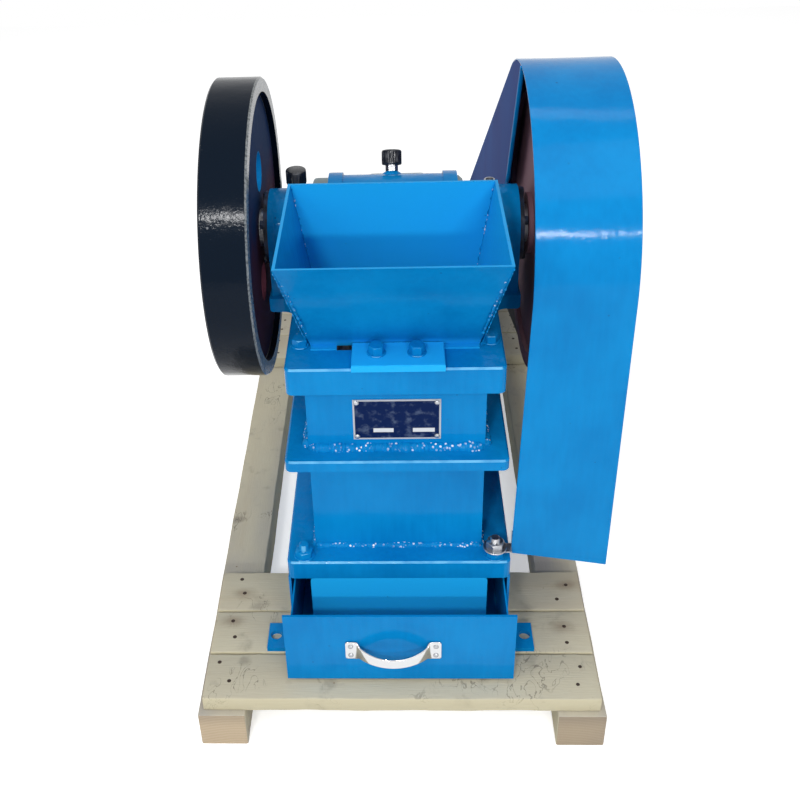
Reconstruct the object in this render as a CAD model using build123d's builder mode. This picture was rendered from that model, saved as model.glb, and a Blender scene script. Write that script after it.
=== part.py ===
"""Laboratory jaw crusher on its pallet: welded frame, swing jaw, flywheel, belt drive and drawer.

Millimetres, +Z up, ground at Z = 0, origin under the middle of the pallet. The machine faces -Y.
Machine sizes are read from the base flange's front face (along Y) and the pallet's deck (along Z),
which the planes from level(), side() and front() start from.
"""
import os
from math import acos, atan2, cos, degrees, hypot, radians, sin, tan

from build123d import *

# Pallet
PALLET_LENGTH = 1096
STRINGER_SPAN = 490  # outer face to outer face
STRINGER_WIDTH = 58
STRINGER_HEIGHT = 54
DECK_WIDTH = 477
DECK_THICKNESS = 22
DECK_SETBACK = 7  # deck boards start this far behind the stringers' ends
FRONT_DECK_LENGTH = 205
REAR_DECK_LENGTH = 362

# Base under the frame and the motor
BODY_SETBACK = 90  # base flange's front face behind the pallet's front end
RAIL_START = 3
RAIL_LENGTH = 992
RAIL_WEB = 3
RAIL_FLANGE_WIDTH = 40
RAIL_FLANGE_THICKNESS = 3.7
RAIL_LOW_HEIGHT = 50
RAIL_SLOPE_LENGTH = 60
EAR_REACH = 33
EAR_FRONT = -12
EAR_BACK = 28
EAR_THICKNESS = 6
EAR_HOLE_RADIUS = 7
EAR_HOLE_FROM_TIP = 10
EAR_HOLE_Y = 9
EAR_DRAWER_GAP = 5
APRON_WIDTH = 212
APRON_THICKNESS = 4
APRON_BOTTOM = 46
APRON_CORNER = 5

# Frame
BASE_FLANGE_WIDTH = 266
BASE_FLANGE_DEPTH = 350
BASE_FLANGE_BOTTOM = 115
BASE_FLANGE_THICKNESS = 26
DISCHARGE_LENGTH = 209
JAW_WIDTH = 150  # inside of the side walls
SIDE_WALL = 25
WALL_FRONT = 29
FRONT_WALL = 12
REAR_WALL = 25
WALL_BACK = 325
MID_FLANGE_WIDTH = 252
MID_FLANGE_FRONT = 4
MID_FLANGE_DEPTH = 340
MID_FLANGE_BOTTOM = 278
MID_FLANGE_THICKNESS = 14
TOP_FLANGE_WIDTH = 236
TOP_FLANGE_FRONT = 4
TOP_FLANGE_BOTTOM = 385
TOP_FLANGE_THICKNESS = 33
FLANGE_CORNER = 8
FLANGE_EDGE = 2

# Jaws
AXIS_Y = 203
AXIS_Z = 485.5
SHAFT_RADIUS = 22.5
RUNNING_FIT = 0.05
JAW_PLATE = 12
FIXED_PLATE_SIDE_GAP = 1
FIXED_PLATE_BOTTOM_GAP = 4
FIXED_PLATE_TOP_GAP = 6
FEED_OPENING = 100
SWING_SIDE_GAP = 5
SWING_FACE_TOP = 408
SWING_FACE_LENGTH = 250
NIP_ANGLE = 17.2
SWING_ARM = 33
BARREL_RADIUS = 63
BARREL_LENGTH = 148
COLLAR_LENGTH = 16
BARREL_WAIST = 60
BOSS_RADIUS = 12.5
TOGGLE_THICKNESS = 12
TOGGLE_WIDTH = 120
TOGGLE_RISE = 28  # toggle plate above the swing jaw's lowest back corner
TOGGLE_SEAT_DEPTH = 10  # toggle seat behind that corner
TOGGLE_SEAT_HEIGHT = 40
TOGGLE_GAP = 0.3
TOGGLE_BLOCK_DEPTH = 30

# Shaft bearings
BLOCK_INSIDE = 100
BLOCK_OUTSIDE = 144
HOUSING_RADIUS = 46
FOOT_OUTSIDE = 147
FOOT_DEPTH = 106
FOOT_HEIGHT = 18
FOOT_ROOT = 13  # plan radius between the top flange's side and the foot
FOOT_EDGE = 4
COVER_RADIUS = 43
COVER_THICKNESS = 5

# Flywheel and drive pulley
FLYWHEEL_RADIUS = 175
FLYWHEEL_WIDTH = 51
FLYWHEEL_INSIDE = 149
FLYWHEEL_RIM = 17
FLYWHEEL_WEB = 36
FLYWHEEL_HUB_RADIUS = 36
FLYWHEEL_HOLES = 2
FLYWHEEL_HOLE_RADIUS = 22.5
FLYWHEEL_HOLE_CIRCLE = 66
FLYWHEEL_HOLE_TURN = 72
SHAFT_END = 4
PULLEY_RADIUS = 170
PULLEY_INSIDE = 155
PULLEY_WIDTH = 44
PULLEY_RIM = 18
PULLEY_WEB = 34
PULLEY_HUB_RADIUS = 36
BELTS = 2
BELT_PITCH = 19
BELT_TOP = 13
BELT_DEPTH = 8
BELT_FLANK_ANGLE = 18
BELT_GAP = 0.3
GROOVE_ROOT_GAP = 3

# Motor
MOTOR_Y = 900
MOTOR_Z = 146
MOTOR_FACE = 128
MOTOR_LENGTH = 283
MOTOR_RADIUS = 70
MOTOR_SHIELD_RADIUS = 74
MOTOR_SHIELD_LENGTH = 22
MOTOR_NOSE_RADIUS = 40
MOTOR_NOSE_LENGTH = 6
MOTOR_COWL_LENGTH = 52
MOTOR_SHAFT_RADIUS = 12
MOTOR_SHAFT_LENGTH = 72
MOTOR_FOOT_LENGTH = 150
MOTOR_FOOT_SPAN = 170
MOTOR_FOOT_THICKNESS = 24
MOTOR_PULLEY_RADIUS = 50
TERMINAL_BOX_WIDTH = 115
TERMINAL_BOX_DEPTH = 70
TERMINAL_BOX_EDGE = 70  # above the motor's axis
TERMINAL_BOX_CROWN = 10
TERMINAL_BOX_X = 4
MOTOR_PLATE_THICKNESS = 6
MOTOR_PLATE_DEPTH = 190

# Belt guard
GUARD_INSIDE = 142
GUARD_LOW_INSIDE = 134  # the front sheet's inner edge leans out to here at its foot
GUARD_WIDTH = 106
GUARD_SHEET = 2
GUARD_RADIUS = 188
GUARD_REAR_RADIUS = 62
GUARD_LOW_CORNER = 121
GUARD_HIGH_CORNER = 141
GUARD_PLATE_TOP_Y = 211
GUARD_HOOK_Y = 306
GUARD_HOOK_Z = 488
GUARD_HOOK_RADIUS = 12
GUARD_HOLE_GAP = 8
CLIP_WIDTH = 14
CLIP_THICKNESS = 2
CLIP_INSIDE = 104
CLIP_RISE = 10
CLIP_STUD_RADIUS = 5
CLIP_TAB_HEIGHT = 22
CLIP_TAB_WIDTH = 14
STAY_WIDTH = 30
STAY_Y = 700
STAY_OVERLAP = 34

# Hopper
RIM_WIDTH = 223
RIM_FRONT = -68
RIM_BACK = 118
RIM_Z = 581
THROAT_WIDTH = 183
THROAT_FRONT = 50
THROAT_BACK = 150
HOPPER_SHEET = 3
LIP_THICKNESS = 2
LIP_LEFT_END = -63
CLAMP_LEFT = -46
CLAMP_RIGHT = 53
CLAMP_FRONT = -1
CLAMP_BACK = 44
CLAMP_THICKNESS = 8

# Small fittings
CUP_RADIUS = 11.8
CUP_CAP_HEIGHT = 17
CUP_NECK_RADIUS = 6
CUP_NECK_HEIGHT = 8
CUP_SEAT_RADIUS = 8
CUP_SEAT_HEIGHT = 3
SIDE_CUP_X = 111
CENTRE_CUP_X = -1
CENTRE_CUP_LEAN = 30  # degrees behind straight up
PLATE_LEFT = -48
PLATE_RIGHT = 50
PLATE_BOTTOM = 305
PLATE_TOP = 360
PLATE_THICKNESS = 1

# Drawer, shown drawn out a little
DRAWER_OPEN = 54
DRAWER_FRONT_WIDTH = 272
DRAWER_FRONT_BOTTOM = 5
DRAWER_FRONT_TOP = 112
DRAWER_FRONT_SHEET = 3
DRAWER_SIDE_GAP = 3
DRAWER_RUNNER_GAP = 0.3
TRAY_LENGTH = 304
TRAY_SHEET = 2
TRAY_SIDE_TOP = 105
TRAY_BACK_TOP = 40
HANDLE_LEFT = -64
HANDLE_RIGHT = 49
HANDLE_FOOT_WIDTH = 13
HANDLE_BOTTOM = 43
HANDLE_TOP = 71
HANDLE_STRAP = 2.5
HANDLE_REACH = 23
HANDLE_END_HEIGHT = 20
HANDLE_MIDDLE_HEIGHT = 14

DECK_TOP = STRINGER_HEIGHT + DECK_THICKNESS
BODY_FRONT = BODY_SETBACK - PALLET_LENGTH / 2


def level(height):
    """Horizontal plane, height above the deck, with its origin at the base flange's front."""
    return Plane((0, BODY_FRONT, DECK_TOP + height))


def side(x):
    """Plane across X, whose own x runs along +Y and whose own y runs along +Z."""
    return Plane((x, BODY_FRONT, DECK_TOP), x_dir=(0, 1, 0), z_dir=(1, 0, 0))


def front(y):
    """Plane facing -Y, y behind the base flange's front, whose own y runs along +Z."""
    return Plane((0, BODY_FRONT + y, DECK_TOP), x_dir=(1, 0, 0), z_dir=(0, -1, 0))


def axle(y, z):
    """Plane through an axle along X at (y, z), whose own y is the radius."""
    return Plane((0, BODY_FRONT + y, DECK_TOP + z), x_dir=(1, 0, 0), z_dir=(0, -1, 0))


def about(y, z):
    """Axis along X at (y, z)."""
    return Axis((0, BODY_FRONT + y, DECK_TOP + z), (1, 0, 0))


def spoke(x, radius, lean):
    """Plane across a radius of the shaft, lean degrees behind straight up."""
    y, z = on_circle(AXIS_Y, AXIS_Z, radius, 90 - lean)
    turn = radians(lean)
    return Plane(
        (x, BODY_FRONT + y, DECK_TOP + z), x_dir=(1, 0, 0), z_dir=(0, sin(turn), cos(turn))
    )


def save(part, name):
    part.label = name
    export_step(part, f"parts/{name}.step")


def tangent_turn(y_from, z_from, r_from, y_to, z_to, r_to):
    """Angles, in degrees, of the two outer tangent points that a pair of circles share."""
    line = atan2(z_to - z_from, y_to - y_from)
    spread = acos((r_from - r_to) / hypot(y_to - y_from, z_to - z_from))
    return degrees(line + spread), degrees(line - spread)


def touch_angle(y, z, r, y_point, z_point, turn):
    """Angle, in degrees, where a line from a point touches a circle, on the side turn names."""
    line = atan2(z_point - z, y_point - y)
    return degrees(line + turn * acos(r / hypot(y_point - y, z_point - z)))


def on_circle(y, z, r, angle):
    return (y + r * cos(radians(angle)), z + r * sin(radians(angle)))


os.makedirs("parts", exist_ok=True)


# Pallet: two stringers, a front deck under the frame and a rear deck under the motor
for name, sign in (("left", -1), ("right", 1)):
    with BuildPart() as stringer:
        with BuildSketch():
            with Locations((sign * (STRINGER_SPAN - STRINGER_WIDTH) / 2, 0)):
                Rectangle(STRINGER_WIDTH, PALLET_LENGTH)
        extrude(amount=STRINGER_HEIGHT)
    save(stringer.part, f"pallet_stringer_{name}")

for name, start, length in (
    ("front", -PALLET_LENGTH / 2 + DECK_SETBACK, FRONT_DECK_LENGTH),
    ("rear", PALLET_LENGTH / 2 - DECK_SETBACK - REAR_DECK_LENGTH, REAR_DECK_LENGTH),
):
    with BuildPart() as deck:
        with BuildSketch(Plane.XY.offset(STRINGER_HEIGHT)):
            with Locations((0, start)):
                Rectangle(DECK_WIDTH, length, align=(Align.CENTER, Align.MIN))
        extrude(amount=DECK_THICKNESS)
    save(deck.part, f"pallet_{name}_deck")


# Base rails: a web, tall under the frame and low under the motor, with flanges turned inwards
RAIL_OUTSIDE = BASE_FLANGE_WIDTH / 2
RAIL_END = RAIL_START + RAIL_LENGTH
RAIL_STEP = BASE_FLANGE_DEPTH + RAIL_SLOPE_LENGTH
EAR_INSIDE = DRAWER_FRONT_WIDTH / 2 + EAR_DRAWER_GAP

for name, sign in (("left", -1), ("right", 1)):
    with BuildPart() as rail:
        with BuildSketch(side(sign * RAIL_OUTSIDE)):
            with BuildLine():
                Polyline(
                    (RAIL_START, 0),
                    (RAIL_END, 0),
                    (RAIL_END, RAIL_LOW_HEIGHT),
                    (RAIL_STEP, RAIL_LOW_HEIGHT),
                    (BASE_FLANGE_DEPTH, BASE_FLANGE_BOTTOM),
                    (RAIL_START, BASE_FLANGE_BOTTOM),
                    close=True,
                )
            make_face()
        extrude(amount=-sign * RAIL_WEB)
        flange_x = sign * (RAIL_OUTSIDE - RAIL_FLANGE_WIDTH / 2)
        with BuildSketch(level(0)):
            with Locations((flange_x, RAIL_START)):
                Rectangle(RAIL_FLANGE_WIDTH, RAIL_LENGTH, align=(Align.CENTER, Align.MIN))
        extrude(amount=RAIL_FLANGE_THICKNESS)
        with BuildSketch(level(RAIL_LOW_HEIGHT)):
            with Locations((flange_x, RAIL_STEP)):
                Rectangle(RAIL_FLANGE_WIDTH, RAIL_END - RAIL_STEP, align=(Align.CENTER, Align.MIN))
        extrude(amount=-RAIL_FLANGE_THICKNESS)
        ear_tip = RAIL_OUTSIDE + EAR_REACH
        with BuildSketch(level(0)):
            with BuildLine():
                Polyline(
                    (sign * RAIL_OUTSIDE, RAIL_START),
                    (sign * EAR_INSIDE, RAIL_START),
                    (sign * EAR_INSIDE, EAR_FRONT),
                    (sign * ear_tip, EAR_FRONT),
                    (sign * ear_tip, EAR_BACK),
                    (sign * RAIL_OUTSIDE, EAR_BACK),
                    close=True,
                )
            make_face()
            with Locations((sign * (ear_tip - EAR_HOLE_FROM_TIP), EAR_HOLE_Y)):
                Circle(EAR_HOLE_RADIUS, mode=Mode.SUBTRACT)
        extrude(amount=EAR_THICKNESS)
    save(rail.part, f"base_rail_{name}")

# Apron: the chute's front sheet, which dips into the drawer
with BuildPart() as apron:
    with BuildSketch(front(0)):
        with Locations((0, APRON_BOTTOM)):
            Rectangle(
                APRON_WIDTH, BASE_FLANGE_BOTTOM - APRON_BOTTOM, align=(Align.CENTER, Align.MIN)
            )
        fillet(vertices().group_by(Axis.Y)[-1], APRON_CORNER)
    extrude(amount=-APRON_THICKNESS)
save(apron.part, "base_apron")

with BuildPart() as motor_plate:
    with BuildSketch(level(RAIL_LOW_HEIGHT)):
        with Locations((0, MOTOR_Y)):
            Rectangle(BASE_FLANGE_WIDTH, MOTOR_PLATE_DEPTH)
    extrude(amount=MOTOR_PLATE_THICKNESS)
save(motor_plate.part, "motor_plate")


# Frame flanges: rings with the walls between them
WALL_WIDTH = JAW_WIDTH + 2 * SIDE_WALL
CHAMBER_FRONT = WALL_FRONT + FRONT_WALL
CHAMBER_BACK = WALL_BACK - REAR_WALL
BASE_FLANGE_TOP = BASE_FLANGE_BOTTOM + BASE_FLANGE_THICKNESS
TOP_FLANGE_TOP = TOP_FLANGE_BOTTOM + TOP_FLANGE_THICKNESS


def flange(bottom, thickness, outside, hole):
    """Flat ring with rounded corners; outside and hole are (width, front, back) along X and Y."""
    with BuildPart() as ring:
        with BuildSketch(level(bottom)):
            width, start, end = outside
            with Locations((0, start)):
                Rectangle(width, end - start, align=(Align.CENTER, Align.MIN))
            fillet(vertices(), FLANGE_CORNER)
            width, start, end = hole
            with Locations((0, start)):
                Rectangle(width, end - start, align=(Align.CENTER, Align.MIN), mode=Mode.SUBTRACT)
        extrude(amount=thickness)
        chamfer(faces().sort_by(Axis.Z)[-1].outer_wire().edges(), FLANGE_EDGE)
    return ring.part


save(
    flange(
        BASE_FLANGE_BOTTOM,
        BASE_FLANGE_THICKNESS,
        (BASE_FLANGE_WIDTH, 0, BASE_FLANGE_DEPTH),
        (JAW_WIDTH, CHAMBER_FRONT, CHAMBER_FRONT + DISCHARGE_LENGTH),
    ),
    "base_flange",
)
save(
    flange(
        MID_FLANGE_BOTTOM,
        MID_FLANGE_THICKNESS,
        (MID_FLANGE_WIDTH, MID_FLANGE_FRONT, MID_FLANGE_FRONT + MID_FLANGE_DEPTH),
        (WALL_WIDTH, WALL_FRONT, WALL_BACK),
    ),
    "mid_flange",
)
save(
    flange(
        TOP_FLANGE_BOTTOM,
        TOP_FLANGE_THICKNESS,
        (TOP_FLANGE_WIDTH, TOP_FLANGE_FRONT, WALL_BACK),
        (JAW_WIDTH, CHAMBER_FRONT, CHAMBER_BACK),
    ),
    "top_flange",
)

for name, middle_x, width, start, end in (
    ("front_wall", 0, WALL_WIDTH, WALL_FRONT, CHAMBER_FRONT),
    ("rear_wall", 0, JAW_WIDTH, CHAMBER_BACK, WALL_BACK),
    ("side_wall_left", -(JAW_WIDTH + SIDE_WALL) / 2, SIDE_WALL, CHAMBER_FRONT, WALL_BACK),
    ("side_wall_right", (JAW_WIDTH + SIDE_WALL) / 2, SIDE_WALL, CHAMBER_FRONT, WALL_BACK),
):
    with BuildPart() as wall:
        with BuildSketch(level(BASE_FLANGE_TOP)):
            with Locations((middle_x, start)):
                Rectangle(width, end - start, align=(Align.CENTER, Align.MIN))
        extrude(amount=TOP_FLANGE_BOTTOM - BASE_FLANGE_TOP)
    save(wall.part, name)


# Fixed jaw plate against the front wall
with BuildPart() as fixed_jaw_plate:
    with BuildSketch(level(BASE_FLANGE_TOP + FIXED_PLATE_BOTTOM_GAP)):
        with Locations((0, CHAMBER_FRONT)):
            Rectangle(
                JAW_WIDTH - 2 * FIXED_PLATE_SIDE_GAP, JAW_PLATE, align=(Align.CENTER, Align.MIN)
            )
    extrude(amount=TOP_FLANGE_TOP - FIXED_PLATE_TOP_GAP - BASE_FLANGE_TOP - FIXED_PLATE_BOTTOM_GAP)
save(fixed_jaw_plate.part, "fixed_jaw_plate")

# Swing jaw: a barrel round the shaft and an arm that carries the jaw plate and the toggle's seat
SWING_WIDTH = JAW_WIDTH - 2 * SWING_SIDE_GAP
FACE_TOP_Y = CHAMBER_FRONT + JAW_PLATE + FEED_OPENING


def face_point(along, behind):
    """Point of the side view, along the swing jaw's face from its top and behind that face."""
    nip = radians(NIP_ANGLE)
    return (
        FACE_TOP_Y - along * sin(nip) + behind * cos(nip),
        SWING_FACE_TOP - along * cos(nip) - behind * sin(nip),
    )


low_corner = face_point(SWING_FACE_LENGTH, JAW_PLATE + SWING_ARM)
toggle_seat_y = low_corner[0] + TOGGLE_SEAT_DEPTH
toggle_height = low_corner[1] + TOGGLE_RISE
seat_bottom = toggle_height - TOGGLE_SEAT_HEIGHT / 2
seat_top = toggle_height + TOGGLE_SEAT_HEIGHT / 2
barrel_tangent = on_circle(AXIS_Y, AXIS_Z, BARREL_WAIST, -NIP_ANGLE)
with BuildPart() as swing_jaw:
    with BuildSketch(side(0)):
        with BuildLine():
            Polyline(
                face_point(0, JAW_PLATE),
                face_point(SWING_FACE_LENGTH, JAW_PLATE),
                low_corner,
                (toggle_seat_y, seat_bottom),
                (toggle_seat_y, seat_top),
                face_point(SWING_FACE_LENGTH / 2, JAW_PLATE + SWING_ARM),
                barrel_tangent,
                (AXIS_Y, AXIS_Z),
                close=True,
            )
        make_face()
    extrude(amount=SWING_WIDTH / 2, both=True)
    with BuildSketch(side(0)):
        with Locations((AXIS_Y, AXIS_Z)):
            Circle(BARREL_WAIST)
    extrude(amount=BARREL_LENGTH / 2, both=True)
    for end in (-1, 1):
        with BuildSketch(side(end * BARREL_LENGTH / 2)):
            with Locations((AXIS_Y, AXIS_Z)):
                Circle(BARREL_RADIUS)
        extrude(amount=-end * COLLAR_LENGTH)
    with BuildSketch(spoke(CENTRE_CUP_X, 0, CENTRE_CUP_LEAN)):
        Circle(BOSS_RADIUS)
    extrude(amount=BARREL_WAIST)
    for radius, boss in ((BARREL_WAIST, BOSS_RADIUS), (BARREL_RADIUS, CUP_SEAT_RADIUS)):
        with BuildSketch(spoke(CENTRE_CUP_X, radius, CENTRE_CUP_LEAN)):
            Circle(boss)
    loft()
    with BuildSketch(side(0)):
        with Locations((AXIS_Y, AXIS_Z)):
            Circle(SHAFT_RADIUS + RUNNING_FIT)
    extrude(amount=BARREL_LENGTH / 2, both=True, mode=Mode.SUBTRACT)
save(swing_jaw.part, "swing_jaw")

with BuildPart() as swing_jaw_plate:
    with BuildSketch(side(0)):
        with BuildLine():
            Polyline(
                face_point(0, 0),
                face_point(SWING_FACE_LENGTH, 0),
                face_point(SWING_FACE_LENGTH, JAW_PLATE),
                face_point(0, JAW_PLATE),
                close=True,
            )
        make_face()
    extrude(amount=SWING_WIDTH / 2, both=True)
save(swing_jaw_plate.part, "swing_jaw_plate")

# Toggle plate between the swing jaw's seat and a block against the rear wall
toggle_start = toggle_seat_y + TOGGLE_GAP
toggle_end = CHAMBER_BACK - TOGGLE_BLOCK_DEPTH
with BuildPart() as toggle_plate:
    with BuildSketch(side(0)):
        with Locations(((toggle_start + toggle_end) / 2, toggle_height)):
            Rectangle(toggle_end - toggle_start, TOGGLE_THICKNESS)
    extrude(amount=TOGGLE_WIDTH / 2, both=True)
save(toggle_plate.part, "toggle_plate")

with BuildPart() as toggle_block:
    with BuildSketch(side(0)):
        with Locations((CHAMBER_BACK, BASE_FLANGE_TOP)):
            Rectangle(TOGGLE_BLOCK_DEPTH, seat_top - BASE_FLANGE_TOP, align=(Align.MAX, Align.MIN))
    extrude(amount=TOGGLE_WIDTH / 2, both=True)
save(toggle_block.part, "toggle_block")


# Shaft bearings: each block is a housing on the top flange, with a foot beside the flange
SEAT_RADIUS = HOUSING_RADIUS + CUP_SEAT_HEIGHT
FLANGE_SIDE = TOP_FLANGE_WIDTH / 2
FOOT_FRONT = AXIS_Y - FOOT_DEPTH / 2
FOOT_BACK = AXIS_Y + FOOT_DEPTH / 2

for name, sign in (("left", -1), ("right", 1)):
    with BuildPart() as block:
        with BuildSketch(level(TOP_FLANGE_TOP)):
            with BuildLine():
                root_x = sign * (FLANGE_SIDE + FOOT_ROOT)
                front_arc = TangentArc(
                    (sign * FLANGE_SIDE, FOOT_FRONT - FOOT_ROOT), (root_x, FOOT_FRONT), tangent=(0, 1)
                )
                Polyline(
                    (root_x, FOOT_FRONT),
                    (sign * FOOT_OUTSIDE, FOOT_FRONT),
                    (sign * FOOT_OUTSIDE, FOOT_BACK),
                    (root_x, FOOT_BACK),
                )
                back_arc = TangentArc(
                    (root_x, FOOT_BACK), (sign * FLANGE_SIDE, FOOT_BACK + FOOT_ROOT), tangent=(-sign, 0)
                )
                Line(back_arc @ 1, front_arc @ 0)
            make_face()
        extrude(amount=-FOOT_HEIGHT)
        low_edges = edges().filter_by(Axis.Y).group_by(Axis.Z)[0]
        fillet(low_edges.sort_by(lambda edge: abs(edge.center().X))[-1], FOOT_EDGE)
        with BuildSketch(side(sign * BLOCK_INSIDE)):
            with Locations((AXIS_Y, TOP_FLANGE_TOP)):
                Rectangle(
                    2 * HOUSING_RADIUS, AXIS_Z - TOP_FLANGE_TOP, align=(Align.CENTER, Align.MIN)
                )
            with Locations((AXIS_Y, AXIS_Z)):
                Circle(HOUSING_RADIUS)
        extrude(amount=sign * (BLOCK_OUTSIDE - BLOCK_INSIDE))
        with BuildSketch(spoke(sign * SIDE_CUP_X, 0, 0)):
            Circle(CUP_SEAT_RADIUS)
        extrude(amount=SEAT_RADIUS)
        with BuildSketch(side(sign * BLOCK_INSIDE)):
            with Locations((AXIS_Y, AXIS_Z)):
                Circle(SHAFT_RADIUS + RUNNING_FIT)
        extrude(amount=sign * (BLOCK_OUTSIDE - BLOCK_INSIDE), mode=Mode.SUBTRACT)
    save(block.part, f"bearing_block_{name}")

    with BuildPart() as cover:
        with BuildSketch(side(sign * BLOCK_OUTSIDE)):
            with Locations((AXIS_Y, AXIS_Z)):
                Circle(COVER_RADIUS)
                Circle(SHAFT_RADIUS + RUNNING_FIT, mode=Mode.SUBTRACT)
        extrude(amount=sign * COVER_THICKNESS)
    save(cover.part, f"bearing_cover_{name}")


# Shaft, flywheel and drive pulley
FLYWHEEL_OUTSIDE = FLYWHEEL_INSIDE + FLYWHEEL_WIDTH
PULLEY_OUTSIDE = PULLEY_INSIDE + PULLEY_WIDTH

with BuildPart() as shaft:
    with BuildSketch(side(-FLYWHEEL_OUTSIDE - SHAFT_END)):
        with Locations((AXIS_Y, AXIS_Z)):
            Circle(SHAFT_RADIUS)
    extrude(amount=FLYWHEEL_OUTSIDE + PULLEY_OUTSIDE + 2 * SHAFT_END)
save(shaft.part, "eccentric_shaft")

with BuildPart() as flywheel:
    with BuildSketch(side(-FLYWHEEL_OUTSIDE)):
        with Locations((AXIS_Y, AXIS_Z)):
            Circle(FLYWHEEL_RADIUS)
            Circle(FLYWHEEL_RADIUS - FLYWHEEL_RIM, mode=Mode.SUBTRACT)
    extrude(amount=FLYWHEEL_WIDTH)
    chamfer(edges().filter_by(GeomType.CIRCLE).sort_by(SortBy.RADIUS)[-2:], FLANGE_EDGE)
    with BuildSketch(side(-(FLYWHEEL_INSIDE + FLYWHEEL_OUTSIDE + FLYWHEEL_WEB) / 2)):
        with Locations((AXIS_Y, AXIS_Z)):
            Circle(FLYWHEEL_RADIUS - FLYWHEEL_RIM)
            with PolarLocations(FLYWHEEL_HOLE_CIRCLE, FLYWHEEL_HOLES, FLYWHEEL_HOLE_TURN):
                Circle(FLYWHEEL_HOLE_RADIUS, mode=Mode.SUBTRACT)
    extrude(amount=FLYWHEEL_WEB)
    with BuildSketch(side(-FLYWHEEL_OUTSIDE)):
        with Locations((AXIS_Y, AXIS_Z)):
            Circle(FLYWHEEL_HUB_RADIUS)
    extrude(amount=FLYWHEEL_WIDTH / 2)
    with BuildSketch(side(-FLYWHEEL_OUTSIDE)):
        with Locations((AXIS_Y, AXIS_Z)):
            Circle(SHAFT_RADIUS)
    extrude(amount=FLYWHEEL_WIDTH, mode=Mode.SUBTRACT)
save(flywheel.part, "flywheel")

BELT_XS = [
    PULLEY_INSIDE + PULLEY_WIDTH / 2 + (index - (BELTS - 1) / 2) * BELT_PITCH
    for index in range(BELTS)
]


def trapezoid(x, radius, depth, gap):
    """Belt section or groove at x, seen with the radius upwards; gap widens it on both flanks."""
    flank = radians(BELT_FLANK_ANGLE)
    top = BELT_TOP / 2 + gap / cos(flank)
    bottom = top - depth * tan(flank)
    Polyline(
        (x - top, radius),
        (x + top, radius),
        (x + bottom, radius - depth),
        (x - bottom, radius - depth),
        close=True,
    )


def grooved_pulley(y, z, radius, bore, gap):
    """Rim, web and hub turned about the axle at (y, z), with a groove for each belt."""
    groove_depth = BELT_DEPTH + GROOVE_ROOT_GAP
    hub = min(PULLEY_HUB_RADIUS, radius - groove_depth - GROOVE_ROOT_GAP)
    with BuildPart() as pulley:
        with BuildSketch(axle(y, z)):
            with BuildLine():
                Polyline(
                    (PULLEY_INSIDE, bore),
                    (PULLEY_OUTSIDE, bore),
                    (PULLEY_OUTSIDE, radius),
                    (PULLEY_INSIDE, radius),
                    close=True,
                )
            make_face()
            recess = (PULLEY_WIDTH - PULLEY_WEB) / 2
            inner, outer = hub, radius - PULLEY_RIM
            if outer > inner:
                with Locations(
                    (PULLEY_INSIDE + recess / 2, (inner + outer) / 2),
                    (PULLEY_OUTSIDE - recess / 2, (inner + outer) / 2),
                ):
                    Rectangle(recess, outer - inner, mode=Mode.SUBTRACT)
            for belt_x in BELT_XS:
                with BuildLine():
                    trapezoid(belt_x, radius, groove_depth, gap)
                make_face(mode=Mode.SUBTRACT)
        revolve(axis=about(y, z))
    return pulley


with BuildPart() as drive_pulley:
    add(grooved_pulley(AXIS_Y, AXIS_Z, PULLEY_RADIUS, SHAFT_RADIUS, BELT_GAP).part)
save(drive_pulley.part, "drive_pulley")

motor_pulley = grooved_pulley(MOTOR_Y, MOTOR_Z, MOTOR_PULLEY_RADIUS, MOTOR_SHAFT_RADIUS, BELT_GAP)
save(motor_pulley.part, "motor_pulley")

# Belts: each a V section swept round both pulleys
belt_up, belt_down = tangent_turn(
    AXIS_Y, AXIS_Z, PULLEY_RADIUS, MOTOR_Y, MOTOR_Z, MOTOR_PULLEY_RADIUS
)
for number, belt_x in enumerate(BELT_XS, start=1):
    with BuildPart() as belt:
        with BuildLine(side(belt_x)) as loop:
            Line(
                on_circle(AXIS_Y, AXIS_Z, PULLEY_RADIUS, belt_up),
                on_circle(MOTOR_Y, MOTOR_Z, MOTOR_PULLEY_RADIUS, belt_up),
            )
            CenterArc((MOTOR_Y, MOTOR_Z), MOTOR_PULLEY_RADIUS, belt_up, belt_down - belt_up)
            Line(
                on_circle(MOTOR_Y, MOTOR_Z, MOTOR_PULLEY_RADIUS, belt_down),
                on_circle(AXIS_Y, AXIS_Z, PULLEY_RADIUS, belt_down),
            )
            CenterArc((AXIS_Y, AXIS_Z), PULLEY_RADIUS, belt_down, belt_up - belt_down - 360)
        start = loop.wires()[0] @ 0
        along = loop.wires()[0] % 0
        with BuildSketch(Plane(start, x_dir=(1, 0, 0), z_dir=along)):
            with BuildLine():
                trapezoid(0, 0, BELT_DEPTH, 0)
            make_face()
        sweep(path=loop.wires()[0])
    save(belt.part, f"drive_belt_{number}")


# Motor: feet, stator, end shield, cowl, terminal box and shaft in one housing
MOTOR_BACK = MOTOR_FACE - MOTOR_LENGTH
MOTOR_FOOT_BOTTOM = RAIL_LOW_HEIGHT + MOTOR_PLATE_THICKNESS

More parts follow.
